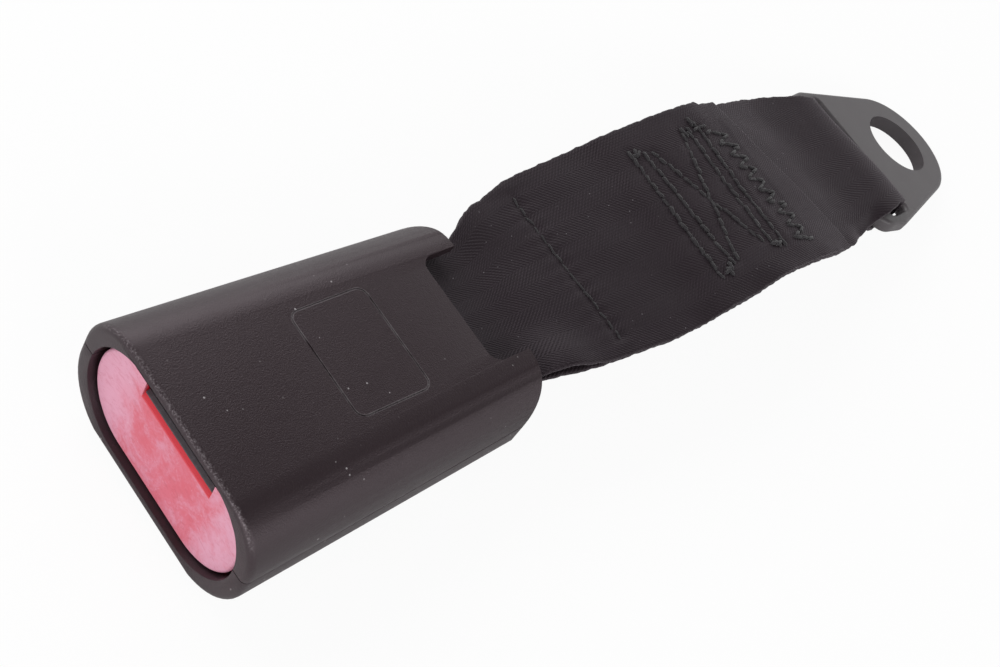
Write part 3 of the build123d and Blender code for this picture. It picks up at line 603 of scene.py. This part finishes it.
class BUCKLE_OT_casing(bpy.types.Operator):
    """Model the two shells of the casing"""

    bl_idname = "buckle.casing"
    bl_label = "Casing shells"

    def execute(self, context):
        sizes = context.scene.buckle_sizes
        body = casing_body(sizes)
        half_gap = mm(sizes.parting_gap) / 2
        upper = copy_of(body, "casing_top")
        lower = named(body, "casing_base")
        cut(upper, block("below", (-10, -40, -10), (100, 40, PARTING + half_gap)))
        cut(lower, block("above", (-10, -40, PARTING - half_gap), (100, 40, 60)))
        notch = rounded_block("notch", (67.5, -13.3, 14), (95, 13.3, 40), 3.0, 2)
        cut(upper, notch)
        round_edges(
            upper, 3.0, 8,
            lambda e: runs_along(e, 2) and middle_of(e).x > LENGTH - 0.3 and abs(abs(middle_of(e).y) - 13.3) < 0.2,
        )
        for shell in (upper, lower):
            soften(shell, 0.28, 3)
        near, far, half = LABEL_NEAR, LABEL_FAR, LABEL_HALF
        field = rounded_block("field", (near, -half, -1), (far, half, 1), LABEL_CORNER, 2, 10)
        near, far, half = near + LABEL_LINE, far - LABEL_LINE, half - LABEL_LINE
        inner = rounded_block("inner", (near, -half, -2), (far, half, 2), LABEL_CORNER - LABEL_LINE, 2, 10)
        cut(field, inner)
        rise = top_of_casing(sizes, LABEL_MIDDLE) + 1 - mm(sizes.label_depth)
        field.data.transform(Matrix.Translation((0, 0, rise / 1000)))
        slope = math.degrees(math.atan2(mm(sizes.roof_drop), LENGTH))
        cut(upper, turned(field, at(LABEL_MIDDLE, 0, rise), slope))
        alone(upper)
        bpy.ops.object.shade_smooth_by_angle(angle=math.radians(32))
        posts = [soften(block("post", (46.5, y - 1.6, 21.8), (49.5, y + 1.6, 26.0)), 0.5) for y in (-11.8, 11.8)]
        ribs = [soften(block("rib", (24, y - 0.7, 24.6), (62, y + 0.7, 25.6)), 0.3) for y in (-6, 6)]
        join([upper, *posts, *ribs])
        inside = []
        for side in (-1, 1):
            for x in (28.0, 46.0):
                inside.append(block("foot", (x - 3, side * 14.9 - 1.2, 1.5), (x + 3, side * 14.9 + 1.2, 4.18)))
            for x in (20.0, 45.0):
                low, high = sorted((side * 19.8, side * 21.0))
                inside.append(block("snap", (x, low, 12.0), (x + 5, high, 19.5)))
                low, high = sorted((side * 20.0, side * 25.0))
                inside.append(block("snap_root", (x, low, 12.0), (x + 5, high, 13.2)))
        inside.append(block("carrier_foot", (50.0, -12, 1.5), (54.0, 12, 6.6)))
        join([lower, *[soften(piece, 0.25) for piece in inside]])
        finish = casing_plastic(context.scene.buckle_colours.casing)
        for shell, node in ((upper, "upper_shell"), (lower, "lower_shell")):
            finish_on(shell, finish)
            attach(shell, "buckle")
            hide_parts(node)
        return {"FINISHED"}


class BUCKLE_OT_button(bpy.types.Operator):
    """Model the release button with its skirt and its two slotted arms"""

    bl_idname = "buckle.button"
    bl_label = "Release button"

    def execute(self, context):
        sizes = context.scene.buckle_sizes
        half = HALF - mm(sizes.mouth_wall) - 0.8
        cap = rounded_block("push_button", (2.1, -half, 3.1), (9.0, half, HEIGHT - 2.1), 12.0, 0, 18)
        choose(cap, "faces", lambda face: face.normal.x < -0.99)
        reach, tall = half, (HEIGHT - 5.2) / 2
        round_edge = ((0.053, -0.268), (0.152, -0.227), (0.227, -0.152), (0.268, -0.053))
        hollow_face = ((1.0, 0.1), (2.6, 0.26), (3.2, 0.16), (2.6, 0.04))
        for ring, sink in (*round_edge, *hollow_face):
            bpy.ops.mesh.extrude_region_move(TRANSFORM_OT_translate={"value": (sink / 1000, 0, 0)})
            smaller = (1, (reach - ring) / reach, (tall - ring) / tall)
            bpy.ops.transform.resize(value=smaller, center_override=at(1.4, 0, HEIGHT / 2 + 0.5))
            reach, tall = reach - ring, tall - ring
        alone(cap)
        hollow = rounded_block("button_hollow", (4.2, 1.6 - half, 5.0), (12, half - 1.6, HEIGHT - 3.7), 10.4, 0, 16)
        cut(cap, hollow)
        cut(cap, block("frame_room", (4.2, -16.2, 18.0), (12, 16.2, 40)))
        cut(cap, block("notch", (-5, -NOTCH_HALF, NOTCH_LEDGE), (12, NOTCH_HALF, 40)))
        lip = block("lip", (0.85, -NOTCH_HALF, NOTCH_LEDGE - 0.75), (2.35, NOTCH_HALF, NOTCH_LEDGE + 0.75))
        cut(cap, turned(lip, at(1.6, 0, NOTCH_LEDGE), 45))
        soften(cap, 0)
        arms = []
        for side in (-1, 1):
            low, high = sorted((side * 16.7, side * 18.9))
            arm = block("arm", (4.3, low, 5.5), (40.0, high, 12.0))
            cut(arm, rounded_block("slot", (19.8, low - 1, 7.0), (37.8, high + 1, 10.6), 1.79, 1, 8))
            arms.append(soften(arm, 0.3))
        join([cap, *arms])
        colours = context.scene.buckle_colours
        finish_on(cap, button_plastic(colours.button, colours.bloom))
        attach(cap, "button")
        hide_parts("release_button")
        return {"FINISHED"}


class BUCKLE_OT_guide(bpy.types.Operator):
    """Model the guide that leads the tongue in: a ramp with a raised rail at each side"""

    bl_idname = "buckle.guide"
    bl_label = "Tongue guide"

    def execute(self, context):
        ramp = block("tongue_lead", (2.2, -11.2, 21.75), (20.0, 11.2, 22.6))
        cut(ramp, turned(block("lead_in", (0.6, -12, 22.2), (2.8, 12, 23.6)), at(2.2, 0, 22.6), -25))
        soften(ramp, 0.12, 2)
        rails = []
        for side in (-1, 1):
            low, high = sorted((side * 11.2, side * 12.8))
            rails.append(soften(rounded_block("rail", (10.6, low, 21.65), (20.0, high, 26.2), 0.6, 1, 4), 0.2))
        join([ramp, *rails])
        finish_on(ramp, guide_plastic(context.scene.buckle_colours.guide))
        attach(ramp, "buckle")
        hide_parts("tongue_guide")
        return {"FINISHED"}


# Webbing: one ribbon that follows its route round both bars

BUCKLE_BAR = (62.0, 17.6)
PLATE_BAR = (207.26, 12.27)
ROUTE_ABOVE = (
    (182, 20.5), (176, 21.98), (172, 22.9), (166, 24.2), (160, 25.3), (150, 25.8), (140, 25.4), (134, 25.15),
    (130, 24.8), (126, 24.05), (121, 23.5), (116, 23.25), (110, 23.0), (100, 22.5), (88, 21.4), (80, 20.3),
    (73, 20.4), (67, 21.2),
)
ROUTE_BELOW = (
    (68, 15.0), (74, 17.6), (80, 18.95), (88, 20.05), (100, 21.2), (110, 21.7), (120, 22.12), (140, 22.82),
    (150, 23.22), (160, 22.72), (172, 20.32), (182, 17.9), (190, 15.5), (199, 11.2),
)
ROUTE_BACK = (
    (200, 16.6), (190, 17.4), (182, 19.2), (172, 21.62), (160, 24.02), (150, 24.52), (140, 24.12), (134, 23.9),
    (128.5, 23.7),
)
FAR_EDGE = (
    (55, 17.0), (76, 16.6), (80.8, 17.0), (84.9, 19.1), (87.3, 20.8), (90.1, 21.7), (93.2, 22.2), (96.7, 23.1),
    (99.9, 24.0), (104.4, 24.5), (124, 24.9), (157.4, 24.6), (169, 24.6), (172.5, 23.5), (186.3, 23.6),
    (195, 22.6), (203, 20.0), (208, 18.3), (215, 17.9),
)
NEAR_EDGE = (
    (55, 17.0), (74, 17.2), (77.2, 18.0), (83.6, 19.5), (88.1, 20.8), (92.9, 21.9), (97.8, 22.8), (103.3, 23.4),
    (108.9, 24.0), (113.7, 24.6), (126.7, 24.6), (140.7, 24.2), (148.2, 23.7), (156.6, 23.2), (165.2, 23.2),
    (177.5, 23.2), (186, 22.6), (194, 21.6), (201, 19.4), (207, 18.0), (215, 17.6),
)


def arc(centre, radius, start, end, count):
    """Points on an arc, from one angle to another in degrees."""
    angles = [math.radians(between(start, end, i / count)) for i in range(count + 1)]
    return [(centre[0] + radius * math.cos(a), centre[1] + radius * math.sin(a)) for a in angles]


def smooth_line(points, spacing):
    """A smooth line through points, as even stations with the distance run at each."""
    points = [np.array(point) for point in points]
    ends = [2 * points[0] - points[1], *points, 2 * points[-1] - points[-2]]
    line = []
    for a, b, c, d in zip(ends, ends[1:], ends[2:], ends[3:]):
        bend, turn = 2 * a - 5 * b + 4 * c - d, 3 * b - a - 3 * c + d
        for t in np.linspace(0, 1, 12, endpoint=False):
            line.append(0.5 * (2 * b + (c - a) * t + bend * t**2 + turn * t**3))
    line = np.array([*line, ends[-2]])
    run = np.concatenate([[0], np.cumsum(np.linalg.norm(np.diff(line, axis=0), axis=1))])
    count = int(round(run[-1] / spacing))
    even = np.linspace(0, run[-1], count + 1)
    return even, np.interp(even, run, line[:, 0]), np.interp(even, run, line[:, 1])


def step(value, low, high):
    """A smooth step from 0 at low to 1 at high, also for arrays."""
    share = np.clip((np.asarray(value, float) - low) / (high - low), 0, 1)
    return share * share * (3 - 2 * share)


STITCH_ROWS = (
    ((134.9, 18.9), (134.1, -18.0), 0.75), ((138.6, 16.8), (139.6, -16.4), 0.75),
    ((140.8, 16.6), (151.6, -14.6), 0.7), ((152.6, 17.8), (141.2, -15.8), 0.7),
    ((154.8, 17.8), (153.6, -15.6), 0.75), ((158.4, 18.6), (156.8, -17.6), 0.75),
)


def waves(x, y):
    """Slow unevenness of the webbing's surface, in millimetres."""
    return (
        0.22 * np.sin(x / 9.0 + 0.7) * np.sin(y / 11.0 + 1.1)
        + 0.12 * np.sin(x / 4.3 + y / 6.1) * np.cos(y / 5.2)
        + 0.1 * np.sin(x / 14.0 - y / 7.0)
    )


def pucker(x, y):
    """How far stitching pulls the webbing in, in millimetres."""
    tack = np.exp(-(((x - TACK_AT) / 1.3) ** 2)) * step(20.5 - np.abs(y), 0, 1.5)
    sunk = 0.42 * tack + 0.13 * np.exp(-np.abs(x - TACK_AT) / 3.2) * np.sin(y * 2 * math.pi / 3.3)
    for (x0, y0), (x1, y1), _ in STITCH_ROWS:
        run = math.hypot(x1 - x0, y1 - y0)
        along = ((x - x0) * (x1 - x0) + (y - y0) * (y1 - y0)) / run
        away = ((x - x0) * (y1 - y0) - (y - y0) * (x1 - x0)) / run
        inside = step(along, -1.5, 1.0) * step(run - along, -1.5, 1.0)
        sunk = sunk + 0.24 * np.exp(-((away / 1.2) ** 2)) * inside * (1 + 0.35 * np.sin(along * 2 * math.pi / 2.9))
    zigzag = step(x, 159, 161) * step(169 - x, 0, 2)
    return sunk + 0.14 * zigzag * step(19 - np.abs(y), 0, 3)


class Ribbon:
    """The webbing's shape: where a point lies that is some way along it and across it."""

    def __init__(self, spacing=0.9):
        points = [
            *ROUTE_ABOVE, *arc(BUCKLE_BAR, 4.05, 75, 285, 6), *ROUTE_BELOW,
            *arc(PLATE_BAR, 4.15, -105, 95, 6), *ROUTE_BACK,
        ]
        self.run, self.x, self.z = smooth_line(points, spacing)
        dx, dz = np.gradient(self.x), np.gradient(self.z)
        size = np.hypot(dx, dz)
        self.normal_x, self.normal_z = dz / size, -dx / size
        self.length = float(self.run[-1])
        self.eye = self.run[np.argmin(self.x)]
        self.plate = self.run[np.argmax(self.x)]

    def surface(self, run, share):
        """The middle of the webbing's thickness, in millimetres, for arrays of runs and shares from -1 to 1."""
        start = step(26 - run, 0, 26)
        x = np.interp(run, self.run, self.x)
        far = np.interp(x, *zip(*FAR_EDGE))
        near = np.interp(x, *zip(*NEAR_EDGE))
        y = np.where(share > 0, share * far, share * near)
        # The upper layer's end is cut a little askew
        run = run + start * (5.4 + 0.236 * y)
        x = np.interp(run, self.run, self.x)
        z = np.interp(run, self.run, self.z)
        top = step(self.eye - run, 2, 12)
        back = step(run - self.plate, 2, 12)
        below = 1 - top - back
        inside = step(x, 76, 86)
        uneven = 0.07 * np.sin(run * 1.1) + 0.06 * np.sin(run * 2.7 + 1) + 0.05 * np.sin(run * 5.3)
        y = y + step(np.abs(share), 0.93, 1.0) * uneven * inside * np.sign(share)
        y = y * (1 - 0.012 * below * step(x, 90, 100) - 0.02 * back * (1 - back))
        z = z + waves(x, y) * step(x, 72, 90) * step(202 - x, 0, 14)
        z = z - pucker(x, y)
        # Both edges puff up where the webbing leaves the casing, and the near one droops further on
        puff = step(-share, 0.35, 1.0) * np.exp(-(((x - 85.5) / 6.5) ** 2))
        z = z + puff * (2.3 * top - 0.2 * below)
        z = z + 0.9 * step(share, 0.3, 1.0) * np.exp(-(((x - 88) / 7.0) ** 2)) * top
        droop = step(-share, 0.8, 1.0) * step(x, 108, 130) * step(200 - x, 0, 20)
        z = z - 0.45 * droop * (1 + 0.6 * np.sin(x / 3.1)) * (top + below + back)
        # The loop round the plate's bar is pulled askew, and its near edge curls in
        slew = (0.5 + 0.5 * step(14 - y, 0, 25)) * step(x, 193, 209)
        x = x + 6.0 * slew
        z = z + 0.8 * slew * back - 0.9 * slew * below * step(x, 196, 206)
        curl = step(-share, 0.72, 1.0) * step(x, 186, 193) * step(206 - x, 0, 7)
        y = y + curl * 1.0
        z = z - curl * 1.6 * (top + back) + curl * 1.2 * below
        return x, y, z

    def run_above(self, x):
        """How far along the upper layer a station is."""
        above = self.run <= self.eye
        order = np.argsort(self.x[above])
        return float(np.interp(x, self.x[above][order], self.run[above][order]))

    def spot(self, x, y, lift):
        """A place on the upper face and the directions along, across and out of it, in millimetres."""
        run = self.run_above(x)
        for _ in range(6):
            here = self.surface(np.array([run]), np.array([y / WEBBING_HALF]))
            run = run + (float(here[0][0]) - x)

        def probe(r, s):
            return Vector([float(v[0]) for v in self.surface(np.array([r]), np.array([s]))])

        share = y / WEBBING_HALF
        for _ in range(4):
            share = share + (y - probe(run, share).y) / WEBBING_HALF
        here = probe(run, share)
        along = (probe(run - 0.6, share) - probe(run + 0.6, share)).normalized()
        across = (probe(run, share + 0.03) - probe(run, share - 0.03)).normalized()
        out = along.cross(across).normalized()
        if out.z < 0:
            out.negate()
        return here + out * lift, along, across, out


class BUCKLE_OT_webbing(bpy.types.Operator):
    """Weave the webbing from the casing's bar to the plate and back"""

    bl_idname = "buckle.webbing"
    bl_label = "Webbing"

    def execute(self, context):
        ribbon = Ribbon()
        rows = len(ribbon.run)
        columns = 52
        run, share = np.meshgrid(ribbon.run, np.linspace(-1, 1, columns + 1), indexing="ij")
        x, y, z = (values.ravel() for values in ribbon.surface(run.ravel(), share.ravel()))
        places = [at(*place) for place in zip(x, y, z)]
        width = columns + 1
        faces = [
            (r * width + c, r * width + c + 1, (r + 1) * width + c + 1, (r + 1) * width + c)
            for r in range(rows - 1)
            for c in range(columns)
        ]
        mesh = bpy.data.meshes.new("webbing")
        mesh.from_pydata(places, [], faces)
        layer = mesh.uv_layers.new(name="webbing")
        for loop in mesh.loops:
            r, c = divmod(loop.vertex_index, width)
            layer.data[loop.index].uv = (WEBBING_WIDTH * c / columns, ribbon.run[r] / 1000)
        webbing = bpy.data.objects.new("belt_webbing", mesh)
        context.scene.collection.objects.link(webbing)
        alone(webbing)
        wall = webbing.modifiers.new("thickness", "SOLIDIFY")
        wall.thickness = context.scene.buckle_sizes.ply
        wall.offset = 0
        wall.use_even_offset = True
        bpy.ops.object.modifier_apply(modifier=wall.name)
        round_edges(
            webbing, 0.42, 2,
            lambda e: len(e.link_faces) == 2 and e.link_faces[0].normal.dot(e.link_faces[1].normal) < 0.4,
        )
        bpy.ops.object.shade_smooth_by_angle(angle=math.radians(60))
        finish_on(webbing, belt_webbing(context.scene.buckle_colours.webbing))
        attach(webbing, "strap")
        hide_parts("webbing_strap")
        context.scene.buckle_made.webbing = webbing
        context.scene.buckle_made.webbing_length = ribbon.length / 1000
        return {"FINISHED"}


def stitch_shape(size):
    """One stitch: a grain of thread that dives at both ends."""
    alone()
    bpy.ops.mesh.primitive_uv_sphere_add(segments=8, ring_count=7, radius=0.5)
    stitch = named(bpy.context.object, "stitch")
    stitch.rotation_euler.y = math.pi / 2
    bpy.ops.object.transform_apply(location=True, rotation=True, scale=True)
    choose(stitch, "verts", lambda v: 0.2 < abs(v.co.x) < 0.47)
    bpy.ops.transform.resize(value=(1, 1.25, 1.25), center_override=(0, 0, 0))
    choose(stitch, "verts", lambda v: abs(v.co.x) > 0.4)
    bpy.ops.transform.translate(value=(0, 0, -0.16))
    choose(stitch, "faces", lambda face: True)
    bpy.ops.transform.resize(value=(size / 1000, 0.00098, 0.00105), center_override=(0, 0, 0))
    alone(stitch)
    bpy.ops.object.shade_smooth()
    return stitch


def lay_stitches(name, pattern, places):
    """Copies a stitch to each place, given as its middle, its direction, the way out and a size."""
    copies = []
    for middle, along, out, size in places:
        across = out.cross(along).normalized()
        turned = Matrix((along, across, out)).transposed().to_4x4()
        mesh = pattern.data.copy()
        mesh.transform(Matrix.Translation(at(*middle)) @ turned @ Matrix.Diagonal((*size, 1)))
        copy = bpy.data.objects.new(name, mesh)
        bpy.context.scene.collection.objects.link(copy)
        copies.append(copy)
    return named(join(copies), name)


def row_of_stitches(ribbon, start, end, pitch, chance, lift=0.6, spread=0.0):
    """Stitches from one (x, y) to another on the webbing's upper face."""
    run = math.hypot(end[0] - start[0], end[1] - start[1])
    count = max(1, int(round(run / pitch)))
    places = []
    for i in range(count):
        share = (i + 0.5) / count
        x = between(start[0], end[0], share) + chance.uniform(-spread, spread)
        y = between(start[1], end[1], share) + chance.uniform(-spread, spread)
        middle, along, across, out = ribbon.spot(x, y, lift + chance.uniform(-0.05, 0.1))
        way = (along * (end[0] - start[0]) + across * (end[1] - start[1])).normalized()
        way = (way + out.cross(way) * chance.uniform(-0.22, 0.22)).normalized()
        out = way.cross(out).cross(way).normalized()
        size = (chance.uniform(0.75, 1.0), chance.uniform(0.65, 0.95), chance.uniform(0.6, 1.05))
        places.append((middle, way, out, size))
    return places


class BUCKLE_OT_stitching(bpy.types.Operator):
    """Sew the tack row and the box pattern"""

    bl_idname = "buckle.stitching"
    bl_label = "Stitching"

    def execute(self, context):
        chance = random.Random(7)
        ribbon = Ribbon()
        pattern = stitch_shape(mm(context.scene.buckle_sizes.stitch))
        tack = row_of_stitches(ribbon, (100.7, 19.8), (101.5, -19.4), 2.6, chance, 0.68, 0.05)
        tack = [(m, w, o, (s[0], s[1] * 0.62, s[2] * 0.6)) for m, w, o, s in tack]
        box = []
        for start, end, lift in STITCH_ROWS:
            box += row_of_stitches(ribbon, start, end, 2.3, chance, lift, 0.26)
        turns = [
            (164.3 + (i % 2 * 2 - 1) * chance.uniform(2.0, 3.4), between(15.5, -18.4, i / 19))
            for i in range(20)
        ]
        for start, end in zip(turns, turns[1:]):
            box += row_of_stitches(ribbon, start, end, 2.6, chance, 0.72, 0.15)
        for corner in ((136.4, -17.6), (137.0, 17.4), (154.2, 17.6), (157.2, 18.0), (155.6, -16.8), (160.2, 16.6)):
            for _ in range(3):
                start = (corner[0] + chance.uniform(-1.2, 1.2), corner[1] + chance.uniform(-1.0, 1.0))
                turn = chance.uniform(0, math.pi)
                end = (start[0] + 2.2 * math.cos(turn), start[1] + 2.2 * math.sin(turn))
                box += row_of_stitches(ribbon, start, end, 2.4, chance, 0.8)
        colours = context.scene.buckle_colours
        finish = sewing_thread(colours.thread)
        for name, places, node in (("tack_row", tack, "tack_stitching"), ("box_pattern", box, "box_stitching")):
            piece = lay_stitches(name, pattern, places)
            finish_on(piece, finish)
            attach(piece, "strap")
            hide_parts(node)
        bpy.data.objects.remove(pattern)
        return {"FINISHED"}


# Springs that the joints press, each given a mesh of its own: the node, the joint that presses it and how far that
# travels
SHORTENING = (("button_springs", "button_press", 0.006), ("ejector_spring", "ejector_slide", 0.012))


class BUCKLE_OT_mechanism(bpy.types.Operator):
    """Finish the anchor plate and the mechanism inside"""

    bl_idname = "buckle.mechanism"
    bl_label = "Plate and mechanism"

    def execute(self, context):
        colours = context.scene.buckle_colours
        steel = bare_steel("frame_steel", colours.steel, 0.3, (90, 1400, 900))
        hard = bare_steel("hardened_steel", (0.34, 0.33, 0.32), 0.26, (1200, 160, 1200))
        spring = bare_steel("spring_steel", (0.42, 0.41, 0.4), 0.22, (900, 900, 900))
        inner = inner_plastic("inner_plastic", (0.55, 0.53, 0.48), 0.42)
        rubber = inner_plastic("pad_rubber", (0.02, 0.02, 0.02), 0.75)
        finishes = (
            (coated_steel(colours.coated), "anchor_plate"),
            (steel, "buckle_frame"),
            (hard, "latch", "latch_pin", "lock_bar"),
            (spring, "latch_spring", "lock_springs", "button_springs", "ejector_spring"),
            (inner, "ejector", "spring_carrier", "strap_bar_sleeve"),
            (rubber, "frame_pads"),
        )
        for finish, *nodes in finishes:
            for node in nodes:
                finish_on(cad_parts[node], finish)
        for node, joint, travel in SHORTENING:
            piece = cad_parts[node]
            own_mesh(piece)
        return {"FINISHED"}


CAMERA_AZIMUTH = math.radians(-68.58)
CAMERA_ELEVATION = math.radians(48.42)
CAMERA_ROLL = math.radians(37.59)
CAMERA_DISTANCE = 0.37438
CAMERA_TARGET = (94.47, 0.42, 0.0)


def softbox(name, place, aim, power, width, depth):
    """A rectangular lamp that faces a point."""
    lamp = bpy.data.lights.new(name, "AREA")
    lamp.shape = "RECTANGLE"
    lamp.size = width
    lamp.size_y = depth
    lamp.energy = power
    light = bpy.data.objects.new(name, lamp)
    bpy.context.scene.collection.objects.link(light)
    light.location = place
    light.rotation_euler = (Vector(place) - Vector(aim)).to_track_quat("Z", "Y").to_euler()
    return light


class Surroundings(Finish):
    """The world's nodes, written as a finish's are."""

    def __init__(self, world):
        world.use_nodes = True
        self.tree = world.node_tree
        self.tree.nodes.clear()


def white_tent():
    """A world that the camera sees as white, and that lights the object less from overhead."""
    world = bpy.data.worlds.new("white_tent")
    tent = Surroundings(world)
    camera_ray = tent.node("ShaderNodeLightPath", out="Is Camera Ray")
    seen = camera_ray.math("MAXIMUM", Value(tent, camera_ray.socket.node.outputs["Is Transmission Ray"]))
    height = tent.axes(tent.node("ShaderNodeTexCoord", out="Generated"))[2]
    fade = {"Value": height, "From Min": 0.25, "From Max": 0.75, "To Min": 1.0, "To Max": 0.2}
    strength = tent.node("ShaderNodeMapRange", {"interpolation_type": "SMOOTHSTEP"}, fade)
    lit = tent.node("ShaderNodeBackground", values={"Color": (1, 1, 1), "Strength": strength})
    white = tent.node("ShaderNodeBackground", values={"Color": (1, 1, 1), "Strength": 1.0})
    shown = tent.node("ShaderNodeMixShader", values={0: seen, 1: lit, 2: white})
    out = tent.tree.nodes.new("ShaderNodeOutputWorld")
    tent.put(out.inputs["Surface"], shown)
    return world


class BUCKLE_OT_stage(bpy.types.Operator):
    """Set up the floor, the lamps, the world and the camera"""

    bl_idname = "buckle.stage"
    bl_label = "Stage"

    def execute(self, context):
        scene = context.scene
        alone()
        bpy.ops.mesh.primitive_plane_add(size=6, location=(-0.12, 0, FLOOR - 0.00002))
        floor = named(bpy.context.object, "studio_floor")
        bpy.ops.object.transform_apply(location=True, rotation=True, scale=True)
        paper = Finish("floor_paper", roughness=0.9, specular_ior_level=0.0)
        paper.set("Base Color", scene.buckle_colours.floor)
        ray = paper.node("ShaderNodeLightPath", out="Is Camera Ray")
        glow = paper.node("ShaderNodeEmission", values={"Color": (1, 1, 1), "Strength": 1.0})
        shaded = Value(paper, paper.shader.outputs[0])
        shown = paper.node("ShaderNodeMixShader", values={0: ray * 0.93, 1: shaded, 2: glow})
        paper.put(paper.tree.nodes["Material Output"].inputs["Surface"], shown)
        finish_on(floor, paper)
        scene.world = white_tent()
        softbox("back_softbox", (-0.1, 0.6, 0.5), (-0.15, 0, 0), 3.3, 0.9, 0.5)
        softbox("near_softbox", (-0.2, -0.75, 0.42), (-0.2, 0, 0), 1.9, 0.8, 0.25)
        softbox("front_softbox", (-0.95, -0.2, 0.35), (-0.24, 0, 0), 2.6, 0.5, 0.4)
        azimuth, elevation = CAMERA_AZIMUTH, CAMERA_ELEVATION
        back = Vector((
            math.sin(azimuth) * math.cos(elevation),
            -math.cos(azimuth) * math.cos(elevation),
            math.sin(elevation),
        ))
        level = Vector((0, 0, 1)).cross(back).normalized()
        upright = back.cross(level)
        right = math.cos(CAMERA_ROLL) * level + math.sin(CAMERA_ROLL) * upright
        up = math.cos(CAMERA_ROLL) * upright - math.sin(CAMERA_ROLL) * level
        lens = bpy.data.cameras.new("camera")
        lens.lens = 61.26
        lens.sensor_width = 36.0
        lens.clip_start = 0.01
        camera = bpy.data.objects.new("camera", lens)
        scene.collection.objects.link(camera)
        turn = Matrix((right, up, back)).transposed().to_4x4()
        camera.matrix_world = Matrix.Translation(at(*CAMERA_TARGET) + back * CAMERA_DISTANCE) @ turn
        scene.camera = camera
        scene.view_settings.view_transform = "Standard"
        return {"FINISHED"}


class BuckleMade(bpy.types.PropertyGroup):
    """What the webbing step leaves behind: the webbing and the length it is cut to."""

    webbing: bpy.props.PointerProperty(name="Webbing", description="Webbing once made", type=bpy.types.Object)
    webbing_length: bpy.props.FloatProperty(
        name="Webbing length", description="Length that the webbing is cut to", unit="LENGTH"
    )


class BUCKLE_PT_panel(bpy.types.Panel):
    """Lists the steps that build the buckle"""

    bl_idname = "BUCKLE_PT_panel"
    bl_label = "Seat belt buckle"
    bl_space_type = "VIEW_3D"
    bl_region_type = "UI"
    bl_category = "Buckle"

    def draw(self, context):
        for step_class in STEPS:
            self.layout.operator(step_class.bl_idname)
        for group in (context.scene.buckle_sizes, context.scene.buckle_colours):
            for name in group.__annotations__:
                self.layout.prop(group, name)


STEPS = (
    BUCKLE_OT_casing,
    BUCKLE_OT_button,
    BUCKLE_OT_guide,
    BUCKLE_OT_webbing,
    BUCKLE_OT_stitching,
    BUCKLE_OT_mechanism,
    BUCKLE_OT_stage,
)
CLASSES = (BuckleSizes, BuckleColours, BuckleMade, *STEPS, BUCKLE_PT_panel)


def register():
    """Registers the classes and the scene's settings."""
    for item in CLASSES:
        bpy.utils.register_class(item)
    bpy.types.Scene.buckle_sizes = bpy.props.PointerProperty(type=BuckleSizes)
    bpy.types.Scene.buckle_colours = bpy.props.PointerProperty(type=BuckleColours)
    bpy.types.Scene.buckle_made = bpy.props.PointerProperty(type=BuckleMade)


def unregister():
    """Takes the settings and the classes away again."""
    del bpy.types.Scene.buckle_made
    del bpy.types.Scene.buckle_colours
    del bpy.types.Scene.buckle_sizes
    for item in reversed(CLASSES):
        bpy.utils.unregister_class(item)


def main():
    """Builds every piece."""
    register()
    bpy.ops.buckle.stage()
    bpy.ops.buckle.casing()
    bpy.ops.buckle.button()
    bpy.ops.buckle.guide()
    bpy.ops.buckle.webbing()
    bpy.ops.buckle.stitching()
    bpy.ops.buckle.mechanism()


if __name__ == "__main__":
    main()
